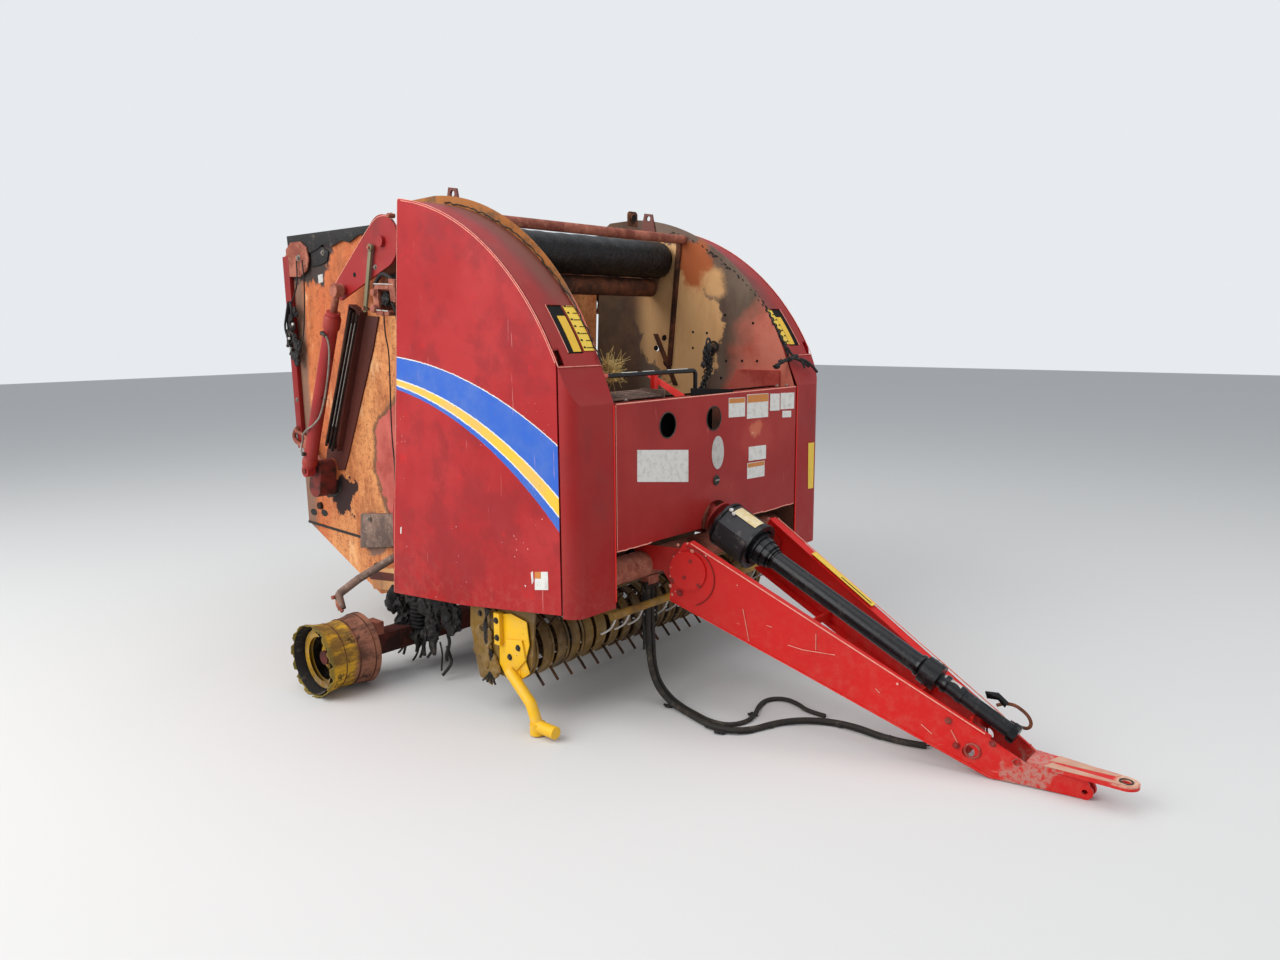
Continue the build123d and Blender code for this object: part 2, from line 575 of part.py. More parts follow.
# tailgate back: upright slats on cross channels
with BuildPart() as gate_back:
    slat_pitch = 2 * (WALL_Y - WALL_T) / GATE_SLATS
    for index in range(GATE_SLATS):
        y = WALL_Y - WALL_T - slat_pitch * (index + 0.5) + GATE_SLAT_W / 2
        extrude(polygon_face(side_plane(y), [(point[0] + 4, point[1] + lift) for point, lift in zip(GATE_SIDE[5:8], (-4, 0, 19))]
                             + [(point[0] + 4 + GATE_SHEET, point[1] + lift)
                                for point, lift in zip(GATE_SIDE[7:4:-1], (19, 0, -4))]), amount=GATE_SLAT_W)
    for x, z in GATE_RAILS:
        extrude(polygon_face(side_plane(WALL_Y - WALL_T), ((x, z), (x + GATE_RAIL[0], z),
                                                           (x + GATE_RAIL[0], z + GATE_RAIL[1]), (x, z + GATE_RAIL[1]))),
                amount=2 * (WALL_Y - WALL_T))
save(gate_back.part, "tailgate_back")

with BuildPart() as gate_top:
    ridge, shoulder, corner = GATE_SIDE[3:6]
    extrude(polygon_face(side_plane(WALL_Y + 6), (ridge, shoulder, corner, (corner[0] - 4, corner[1] + 2),
                                                  (shoulder[0] - 2, shoulder[1] + 6), (ridge[0], ridge[1] + 6))),
            amount=2 * (WALL_Y + 6))
save(gate_top.part, "tailgate_top")

with BuildPart() as gate_belly:
    heel, sole, toe = GATE_SIDE[7:10]
    reach = (toe[0] + (sole[0] - toe[0]) * 0.46, toe[1] + (sole[1] - toe[1]) * 0.46)
    extrude(polygon_face(side_plane(WALL_Y - WALL_T), ((heel[0] + 6, heel[1] + 4), (sole[0], sole[1] + GATE_SHEET),
                                                       (reach[0], reach[1] + GATE_SHEET), (reach[0], reach[1] + 2 * GATE_SHEET),
                                                       (sole[0] + 2, sole[1] + 2 * GATE_SHEET), (heel[0] + 8, heel[1] + 10))),
            amount=2 * (WALL_Y - WALL_T))
save(gate_belly.part, "tailgate_belly")

# dark strut down the tailgate side
with BuildPart() as strut:
    extrude(polygon_face(side_plane(-WALL_Y), GATE_STRUT), amount=GATE_STRUT_DEPTH)
    with BuildSketch(side_plane(-WALL_Y - GATE_SHEET)) as groove:
        with BuildLine():
            Polyline(*GATE_STRUT, close=True)
        make_face()
        offset(amount=-GATE_SHEET, mode=Mode.REPLACE)
    extrude(amount=GATE_STRUT_DEPTH, mode=Mode.SUBTRACT)
save_both(strut.part, "tailgate_struts")

# lift cylinder, right: barrel on the tailgate's foot pin, rod up to the lever's end
CYL_ANGLE = degrees(atan2(LEVER_END[1] - CYL_FOOT[1], LEVER_END[0] - CYL_FOOT[0]))
CYL_LENGTH = hypot(LEVER_END[1] - CYL_FOOT[1], LEVER_END[0] - CYL_FOOT[0])


def along_cylinder(distance):
    """Point on the cylinder's axis, from its foot pin, in side plane coordinates."""
    return (CYL_FOOT[0] + distance * cos(radians(CYL_ANGLE)), CYL_FOOT[1] + distance * sin(radians(CYL_ANGLE)))


def cylinder_plane(distance):
    """Plane across the cylinder's axis."""
    x, z = along_cylinder(distance)
    return Plane(origin=(FRONT_X + x, -CYL_Y, z), x_dir=(0, 1, 0),
                 z_dir=(cos(radians(CYL_ANGLE)), 0, sin(radians(CYL_ANGLE))))


with BuildPart() as barrel:
    extrude(disc_face(side_plane(-CYL_Y + CYL_EYE_W / 2), *CYL_FOOT, 30), amount=CYL_EYE_W)
    extrude(disc_face(cylinder_plane(20), 0, 0, CYL_BARREL_R), amount=CYL_BARREL_LEN)
    extrude(disc_face(cylinder_plane(50), 0, 0, CYL_BORE_R), amount=CYL_BARREL_LEN - 60, mode=Mode.SUBTRACT)
    extrude(disc_face(cylinder_plane(50), 0, 0, CYL_ROD_R + HINGE_FIT), amount=CYL_BARREL_LEN, mode=Mode.SUBTRACT)
    extrude(disc_face(side_plane(-CYL_Y + CYL_EYE_W / 2), *CYL_FOOT, CYL_PIN_R + HINGE_FIT), amount=CYL_EYE_W,
            mode=Mode.SUBTRACT)
save_pair(barrel.part, "cylinder_barrel")

with BuildPart() as rod:
    extrude(disc_face(cylinder_plane(70), 0, 0, CYL_BORE_R - 0.3), amount=30)
    extrude(disc_face(cylinder_plane(90), 0, 0, CYL_ROD_R), amount=CYL_LENGTH - 90)
    extrude(disc_face(side_plane(-CYL_Y + CYL_EYE_W / 2), *LEVER_END, 30), amount=CYL_EYE_W)
save_pair(rod.part, "cylinder_rod")

# axle: beam under the chamber, hung from the walls, with the wheel spindles
with BuildPart() as axle:
    half_beam = AXLE_BEAM / 2
    extrude(polygon_face(side_plane(AXLE_HALF), ((AXLE_X - half_beam, RIM_R - half_beam), (AXLE_X + half_beam, RIM_R - half_beam),
                                                 (AXLE_X + half_beam, RIM_R + half_beam), (AXLE_X - half_beam, RIM_R + half_beam))),
            amount=2 * AXLE_HALF)
    extrude(disc_face(side_plane(RIM_OUTER_Y - 60), AXLE_X, RIM_R, SPINDLE_R), amount=2 * (RIM_OUTER_Y - 60))
    for y in (WALL_Y + 10, -WALL_Y):
        extrude(polygon_face(side_plane(y), ((-1290, 130), (-1150, 130), (-1050, 384), (-1050, 430), (-1150, 430), (-1250, 300))),
                amount=10)
save(axle.part, "axle")

# bare rim: open drum with a centre disc and hub, a bead ridge and a wider inner half
with BuildPart() as rim:
    with BuildSketch(Plane(origin=(FRONT_X + AXLE_X, 0, RIM_R), x_dir=(0, -1, 0), z_dir=(1, 0, 0))) as section:
        with BuildLine():
            Polyline((RIM_INNER_Y, RIM_R), (RIM_INNER_Y + 16, RIM_R), (RIM_DISC_Y - 20, RIM_WAIST_R),
                     (RIM_OUTER_Y, RIM_R - 6), (RIM_OUTER_Y, RIM_R - 6 - RIM_WALL), (RIM_DISC_Y + 8, RIM_WAIST_R - RIM_WALL),
                     (RIM_DISC_Y + 8, HUB_R), (RIM_OUTER_Y - 40, HUB_R), (RIM_OUTER_Y - 40, SPINDLE_R + HINGE_FIT),
                     (RIM_INNER_Y + 40, SPINDLE_R + HINGE_FIT), (RIM_INNER_Y + 40, HUB_R), (RIM_DISC_Y, HUB_R),
                     (RIM_DISC_Y, RIM_WAIST_R - RIM_WALL), (RIM_DISC_Y - 20, RIM_WAIST_R - RIM_WALL),
                     (RIM_INNER_Y + 16, RIM_R - RIM_WALL), (RIM_INNER_Y, RIM_R - RIM_WALL), close=True)
        make_face()
    revolve(axis=Axis((FRONT_X + AXLE_X, 0, RIM_R), (0, 1, 0)))
save_pair(rim.part, "rim")

# stay bar from the frame down towards each rim
with BuildPart() as stay:
    with BuildLine() as stay_line:
        FilletPolyline((FRONT_X - 1180, -WALL_Y, 552), (FRONT_X - 1180, -740, 552), (FRONT_X - 1300, -900, 440),
                       (FRONT_X - 1335, -985, 380), (FRONT_X - 1300, -992, 322), radius=STAY_BEND_R)
    with BuildSketch(Plane(origin=stay_line.line @ 0, z_dir=stay_line.line % 0)):
        Circle(STAY_R)
    sweep(path=stay_line.line)
save_both(stay.part, "rim_stays")

# tongue: two tapering channels that meet at the hitch, with bolting discs at their roots
TONGUE_ANGLE = degrees(atan2(TONGUE_SLOPE_Y, 1))


def web_plane(inset):
    """Plane of the right channel's web, drawn in towards the centre line."""
    turn = radians(TONGUE_ANGLE)
    normal = (sin(turn), -cos(turn), 0)
    return Plane(origin=(FRONT_X - inset * normal[0], -TONGUE_ROOT_Y - inset * normal[1], 0),
                 x_dir=(cos(turn), sin(turn), 0), z_dir=normal)


def tongue_z(pair, x):
    """Height of a tongue edge at a distance along it, from its heights at the two ends."""
    share = (x - TONGUE_START) / (TONGUE_END - TONGUE_START)
    return pair[0] + share * (pair[1] - pair[0])


with BuildPart() as channel:
    top = TONGUE_TOP_Z
    foot = TONGUE_FOOT_Z
    crown = TONGUE_START + 88
    web = ((TONGUE_START, foot[0]), (TONGUE_START + 11, 625), (TONGUE_START + 64, 700), (crown, tongue_z(top, crown)),
           (TONGUE_END, top[1]), (TONGUE_END, foot[1]))
    extrude(polygon_face(web_plane(TONGUE_WEB), web), amount=TONGUE_WEB)
    upper = ((crown, tongue_z(top, crown)), (TONGUE_END, top[1]), (TONGUE_END, top[1] - TONGUE_WEB),
             (crown, tongue_z(top, crown) - TONGUE_WEB))
    lower = ((TONGUE_START, foot[0]), (TONGUE_END, foot[1]), (TONGUE_END, foot[1] + TONGUE_WEB), (TONGUE_START, foot[0] + TONGUE_WEB))
    for flange in (upper, lower):
        extrude(polygon_face(web_plane(TONGUE_FLANGE), flange), amount=TONGUE_FLANGE)
    # bolting disc outside the root and the arm that carries it on the cross tube
    extrude(disc_face(web_plane(0), 96, 590, 78), amount=10)
    # jack hole near the tip
    extrude(disc_face(web_plane(TONGUE_WEB), 1172, 82, 21), amount=TONGUE_WEB, mode=Mode.SUBTRACT)
save_both(channel.part, "tongue_channels")

with BuildPart() as tongue_root:
    extrude(polygon_face(web_plane(TONGUE_WEB + 12), ((-150, 575), (-150, 672), (60, 672), (150, 610), (120, 520),
                                                      (20, 520), (-20, 575))), amount=12)
    extrude(disc_face(side_plane(0), *CROSS_TUBE, CROSS_TUBE_R), amount=WALL_Y, mode=Mode.SUBTRACT)
save_both(tongue_root.part, "tongue_roots")

# tongue cross pieces, the front one bearing the driveline
DRIVE_REST_X = 1130
DRIVE_REST_FOOT_Z = 168
DRIVE_REST_Z = DRIVE_ORIGIN_Z - DRIVE_REST_X * tan(radians(DRIVE_PITCH)) - DRIVE_INNER_R / cos(radians(DRIVE_PITCH)) - 2.5
with BuildPart() as tongue_ties:
    for x, low, high in ((420, 330, 360), (900, 150, 190), (DRIVE_REST_X, 56, DRIVE_REST_FOOT_Z)):
        half = TONGUE_ROOT_Y - (x + 5) * TONGUE_SLOPE_Y - TONGUE_WEB / cos(radians(TONGUE_ANGLE)) - 0.2
        with BuildSketch(level_plane(low)):
            with Locations((x, 0)):
                Rectangle(10, 2 * half)
        extrude(amount=high - low)
    with BuildSketch(level_plane(DRIVE_REST_FOOT_Z)):
        with Locations((DRIVE_REST_X, 0)):
            Rectangle(10, 70)
    extrude(amount=DRIVE_REST_Z - DRIVE_REST_FOOT_Z)
save(tongue_ties.part, "tongue_ties")

# hitch: cheeks that carry on the channels' webs down to a chain lobe, under a long plate with the pin hole
with BuildPart() as hitch:
    with BuildSketch(level_plane(HITCH_PLATE_Z[0])):
        with BuildLine():
            Polyline((HITCH_START, 52), (HITCH_START, -52), (TONGUE_REACH - 42, -42))
            RadiusArc((TONGUE_REACH - 42, -42), (TONGUE_REACH - 42, 42), -42)
            Line((TONGUE_REACH - 42, 42), (HITCH_START, 52))
        make_face()
        with Locations((HITCH_HOLE, 0)):
            Circle(HITCH_HOLE_R, mode=Mode.SUBTRACT)
    extrude(amount=HITCH_PLATE_Z[1] - HITCH_PLATE_Z[0])
    lobe = HITCH_LOBE / cos(radians(TONGUE_ANGLE))
    cheek = ((TONGUE_END, TONGUE_FOOT_Z[1]), (TONGUE_END, TONGUE_TOP_Z[1]), (TONGUE_END + 120, HITCH_PLATE_Z[0] + 4),
             (lobe, HITCH_PLATE_Z[0] + 4), (lobe + HITCH_LOBE_R, HITCH_LOBE_R), (lobe, 2), (TONGUE_END + 120, 6))
    extrude(polygon_face(web_plane(HITCH_CHEEK), cheek), amount=HITCH_CHEEK)
    extrude(disc_face(web_plane(HITCH_CHEEK), lobe, HITCH_LOBE_R, HITCH_LOBE_R), amount=HITCH_CHEEK)
    extrude(disc_face(web_plane(HITCH_CHEEK), lobe, HITCH_LOBE_R, 9), amount=HITCH_CHEEK, mode=Mode.SUBTRACT)
    mirror(about=Plane.XZ)
save(hitch.part, "hitch")

# gearbox: block behind the panel's foot, its face square to the driveline
with BuildPart() as gearbox:
    with BuildSketch(drive_plane(-190)):
        RectangleRounded(GEARBOX_SIZE, GEARBOX_SIZE, 20)
    extrude(amount=130)
    with BuildSketch(drive_plane(-64)):
        Circle(NECK_R)
    extrude(amount=BELL_START + 64)
    with BuildSketch(drive_plane(8)):
        Circle(75)
    extrude(amount=8)
    # cross shaft housing out to the left-hand drive
    extrude(disc_face(side_plane(WALL_Y - WALL_T), *GEARBOX_SHAFT, 40), amount=WALL_Y - WALL_T)
save(gearbox.part, "gearbox")

# roll drive outside the left wall: fixed sprocket on the gearbox shaft and the chain round all three
with BuildPart() as drive_chain:
    extrude(disc_face(side_plane(CHAIN_Y[1]), *GEARBOX_SHAFT, SPROCKET_R), amount=CHAIN_Y[1] - CHAIN_Y[0])
    extrude(disc_face(side_plane(CHAIN_Y[1]), *GEARBOX_SHAFT, 30), amount=CHAIN_Y[1] - WALL_Y)
    wheels = [(GEARBOX_SHAFT[0], GEARBOX_SHAFT[1])] + [(x, z) for name, x, z, radius in FRONT_ROLLS]
    extrude(hull_face(side_plane(CHAIN_Y[1]), [(x, z, SPROCKET_R + 18) for x, z in wheels]), amount=CHAIN_Y[1] - CHAIN_Y[0])
    inner = [(GEARBOX_SHAFT[0], GEARBOX_SHAFT[1], SPROCKET_R + 6)] + [(x, z, SPROCKET_R + 6) for x, z in wheels[1:]]
    extrude(hull_face(side_plane(CHAIN_Y[1]), inner), amount=CHAIN_Y[1] - CHAIN_Y[0], mode=Mode.SUBTRACT)
    extrude(disc_face(side_plane(CHAIN_Y[1]), *GEARBOX_SHAFT, SPROCKET_R + 8), amount=CHAIN_Y[1] - CHAIN_Y[0])
    extrude(disc_face(side_plane(CHAIN_Y[1]), *GEARBOX_SHAFT, 30), amount=CHAIN_Y[1] - WALL_Y)
save(drive_chain.part, "drive_chain")

# bell: eight-sided black shield over the front joint
with BuildPart() as bell:
    with BuildSketch(drive_plane(BELL_START)):
        RegularPolygon(BELL_R, 8, rotation=22.5)
        RegularPolygon(BELL_R - 5, 8, rotation=22.5, mode=Mode.SUBTRACT)
    extrude(amount=BELL_END - BELL_START)
    with BuildSketch(drive_plane(BELL_START)):
        RegularPolygon(BELL_R, 8, rotation=22.5)
    extrude(amount=4)
save(bell.part, "driveline_bell")

# driveline: ringed guard cone, guard tube, melted collar and bare inner tube, turning as one
with BuildPart() as driveline:
    with BuildSketch(drive_plane(BELL_START + 4.3)):
        Circle(24)
    extrude(amount=DRIVE_END - BELL_START - 4.3)
    for start, end, radius in ((190, 226, 78), (226, 252, 70), (252, 280, 60), (280, 306, 52), (306, DRIVE_TUBE_END, DRIVE_TUBE_R),
                               (1035, 1100, 52), (DRIVE_TUBE_END, DRIVE_END, DRIVE_INNER_R), (1180, 1200, 31)):
        with BuildSketch(drive_plane(start)):
            Circle(radius)
        extrude(amount=end - start)
save(driveline.part, "driveline")

# pickup frame: yellow end plates on the pivot stubs, with the rear beam and the wind guard's shaft between them
with BuildPart() as pickup_frame:
    for y in (PICKUP_HALF, -PICKUP_HALF + 8):
        extrude(hull_face(side_plane(y), ((*PICKUP_PIVOT, 40), (*REEL, 128), (*GUARD_PIVOT, 26), (*PICKUP_BEAM, 26),
                                          (*PICKUP_BAR_LOW, 18))), amount=8)
        extrude(disc_face(side_plane(y), *PICKUP_PIVOT, 24 + HINGE_FIT), amount=8, mode=Mode.SUBTRACT)
        extrude(disc_face(side_plane(y), *REEL, REEL_SHAFT_R + HINGE_FIT), amount=8, mode=Mode.SUBTRACT)
    extrude(disc_face(side_plane(PICKUP_HALF - 8), *PICKUP_BEAM, PICKUP_BEAM_R), amount=2 * (PICKUP_HALF - 8))
    extrude(disc_face(side_plane(PICKUP_HALF - 8), *GUARD_PIVOT, GUARD_SHAFT_R), amount=2 * (PICKUP_HALF - 8))
save(pickup_frame.part, "pickup_frame")

TINE_PITCH = 2 * (PICKUP_HALF - 50) / (REEL_TINES - 1)
BAND_GAP = 30
with BuildPart() as bands:
    with BuildSketch(side_plane(PICKUP_HALF - 8)):
        with Locations(REEL):
            Circle(REEL_BAND_R)
            Circle(REEL_BAND_R - 4, mode=Mode.SUBTRACT)
        with Locations((REEL[0] - 110, REEL[1])):
            Rectangle(90, 300, mode=Mode.SUBTRACT)
    extrude(amount=2 * (PICKUP_HALF - 8))
    for bar, z in ((PICKUP_BAR_TOP, REEL[1] + 100), (PICKUP_BAR_LOW, REEL[1] - 100)):
        extrude(polygon_face(side_plane(PICKUP_HALF - 8), ((REEL[0] - 60, z), (REEL[0] - 60, z + 5), (bar[0], bar[1] + 3),
                                                           (bar[0], bar[1] - 3))), amount=2 * (PICKUP_HALF - 8))
    # slots for the tines, cut from the front back to the carrying bars
    with BuildSketch(Plane(origin=(FRONT_X + REEL[0] + 200, 0, REEL[1]), x_dir=(0, 1, 0), z_dir=(1, 0, 0))):
        with GridLocations(TINE_PITCH, 1, REEL_TINES, 1):
            Rectangle(BAND_GAP, 400)
    extrude(amount=PICKUP_BAR_TOP[0] + 12 - REEL[0] - 200, mode=Mode.SUBTRACT)
    # the bars that carry the bands at their rear ends
    for x, z in (PICKUP_BAR_TOP, PICKUP_BAR_LOW):
        with BuildSketch(side_plane(PICKUP_HALF - 8)):
            with Locations((x, z)):
                Rectangle(16, 16)
        extrude(amount=2 * (PICKUP_HALF - 8))
save(bands.part, "pickup_bands")

# pickup reel: shaft, spiders, tine bars and tines
with BuildPart() as reel:
    extrude(disc_face(side_plane(PICKUP_HALF - 0.3), *REEL, REEL_SHAFT_R), amount=2 * (PICKUP_HALF - 0.3))
    for y in (-PICKUP_HALF + 50, -300, 310, PICKUP_HALF - 40):
        with BuildSketch(side_plane(y)):
            with Locations(REEL):
                Circle(REEL_BAR_R + 14)
        extrude(amount=6)
    for index in range(REEL_BARS):
        angle = radians(45 + 360 / REEL_BARS * index)
        extrude(disc_face(side_plane(PICKUP_HALF - 22), REEL[0] + REEL_BAR_R * cos(angle),
                          REEL[1] + REEL_BAR_R * sin(angle), 13), amount=2 * (PICKUP_HALF - 22))
        with BuildSketch(Plane(origin=(FRONT_X + REEL[0] + REEL_BAR_R * cos(angle), 0, REEL[1] + REEL_BAR_R * sin(angle)),
                               x_dir=(0, 1, 0), z_dir=(cos(angle), 0, sin(angle)))):
            with GridLocations(TINE_PITCH, 1, REEL_TINES, 1):
                Rectangle(8, 8)
        extrude(amount=REEL_TIP_R - REEL_BAR_R)
save(reel.part, "pickup_reel")

# gauge arms: bent tubes at the pickup's ends, their wheels gone, each ending in an open socket and a stub
with BuildPart() as gauge_arm:
    with BuildLine() as gauge_line:
        FilletPolyline(*[(FRONT_X + x, y, z) for x, y, z in GAUGE_ROUTE], radius=60)
    with BuildSketch(Plane(origin=gauge_line.line @ 0, z_dir=gauge_line.line % 0)):
        Circle(GAUGE_TUBE_R)
    sweep(path=gauge_line.line)
    extrude(polygon_face(side_plane(-PICKUP_HALF), ((-440, 300), (-360, 310), (-350, 190), (-430, 180))), amount=14)
    socket_x, socket_y, socket_z = GAUGE_ROUTE[-1]
    extrude(disc_face(level_plane(GAUGE_SOCKET_Z), socket_x, socket_y, GAUGE_SOCKET_R), amount=44)
    with BuildSketch(Plane(origin=(FRONT_X + socket_x, socket_y, socket_z - 4), x_dir=(0, 1, 0), z_dir=(1, 0, 0))):
        Circle(GAUGE_TUBE_R + 2)
    extrude(amount=100)
save_both(gauge_arm.part, "gauge_arms")

# wind guard: front bar on side arms, with curved rods hanging over the tines
with BuildPart() as guard:
    extrude(disc_face(side_plane(GUARD_HALF), *GUARD_BAR, GUARD_BAR_R), amount=2 * GUARD_HALF)
    for y in (GUARD_ARM_Y, -GUARD_ARM_Y + 8):
        extrude(hull_face(side_plane(y), ((*GUARD_BAR, 18), (*GUARD_PIVOT, 18))), amount=8)
        extrude(disc_face(side_plane(y), *GUARD_PIVOT, GUARD_SHAFT_R + HINGE_FIT), amount=8, mode=Mode.SUBTRACT)
save(guard.part, "wind_guard")

# belly pan between the pickup and the floor roll
with BuildPart() as belly:
    extrude(polygon_face(side_plane(WALL_Y - WALL_T), ((-1036, 400), (-930, 392), (-930, 396), (-1036, 404))), amount=2 * (WALL_Y - WALL_T))
save(belly.part, "belly_pan")

# hoses
save(cord_tube(HOSE_LONG, HOSE_R), "hose_long")
save(cord_tube(HOSE_LOOP, HOSE_LOOP_R), "hose_loop")
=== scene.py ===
"""Dressed scene of a towed round baler, burnt out and parked on its bare rims.

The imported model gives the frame. A place is written as a workshop drawing would give it, in millimetres:
forward from the front panel, outward from the machine's middle (to the left where a piece has no side) and
up from the ground. `Assembly.spot` turns it into the scene's metres. Finishes are procedural and read object
coordinates.
"""
from __future__ import annotations

import json
import logging
import math
import random
from dataclasses import dataclass
from enum import Enum
from typing import Callable, ClassVar, Iterable, Sequence

import bpy
from mathutils import Euler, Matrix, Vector, noise

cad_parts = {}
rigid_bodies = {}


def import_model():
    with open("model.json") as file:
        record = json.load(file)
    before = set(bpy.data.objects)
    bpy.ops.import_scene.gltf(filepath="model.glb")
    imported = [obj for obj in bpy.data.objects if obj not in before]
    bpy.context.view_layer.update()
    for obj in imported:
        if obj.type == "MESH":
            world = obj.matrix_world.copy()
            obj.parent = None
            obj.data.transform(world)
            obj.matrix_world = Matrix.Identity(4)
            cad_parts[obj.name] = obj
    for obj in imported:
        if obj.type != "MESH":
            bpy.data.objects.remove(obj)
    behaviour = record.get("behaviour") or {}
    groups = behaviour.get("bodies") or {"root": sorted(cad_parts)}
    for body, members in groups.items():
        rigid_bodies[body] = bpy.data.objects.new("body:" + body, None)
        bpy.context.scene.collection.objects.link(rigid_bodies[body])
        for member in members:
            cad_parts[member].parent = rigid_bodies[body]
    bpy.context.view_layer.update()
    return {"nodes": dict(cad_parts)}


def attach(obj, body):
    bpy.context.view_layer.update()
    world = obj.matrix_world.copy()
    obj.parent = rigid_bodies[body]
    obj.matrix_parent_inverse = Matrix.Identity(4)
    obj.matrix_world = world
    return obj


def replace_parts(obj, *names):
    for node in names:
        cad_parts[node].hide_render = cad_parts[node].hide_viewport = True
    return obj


LOG = logging.getLogger("baler")
FRONT_X = 0.288
SPECULAR = 0.3

Point = tuple[float, float]
Place = tuple[float, float, float]
Spot = Place | Vector
Colour = tuple[int, int, int]
Outline = tuple[Point, ...]
Piece = bpy.types.Object


def linear(value: float) -> float:
    """Return the linear share of a display value from 0 to 255."""
    share = value / 255
    return share / 12.92 if share <= 0.04045 else ((share + 0.055) / 1.055) ** 2.4


class Side(Enum):
    """A side of the machine with the sign of its y, or the whole machine."""

    RIGHT = -1
    LEFT = 1
    WHOLE = 0

    def called(self, stem: str) -> str:
        """Return a name with the side at its end, where there is one."""
        return stem if self is Side.WHOLE else f"{stem}_{self.name.lower()}"


BOTH = (Side.RIGHT, Side.LEFT)


@dataclass(frozen=True)
class Value:
    """A node's output, which takes part in sums and products."""

    sheet: Sheet
    socket: bpy.types.NodeSocket

    def __add__(self, other: Value | float) -> Value:
        """Return the sum."""
        return self.sheet.math("ADD", self, other)

    def __sub__(self, other: Value | float) -> Value:
        """Return the difference."""
        return self.sheet.math("SUBTRACT", self, other)

    def __rsub__(self, other: float) -> Value:
        """Return what is left of a number."""
        return self.sheet.math("SUBTRACT", other, self)

    def __mul__(self, other: Value | float) -> Value:
        """Return the product."""
        return self.sheet.math("MULTIPLY", self, other)

    def __abs__(self) -> Value:
        """Return the size without its sign."""
        return self.sheet.math("ABSOLUTE", self)


Input = Value | float | Colour


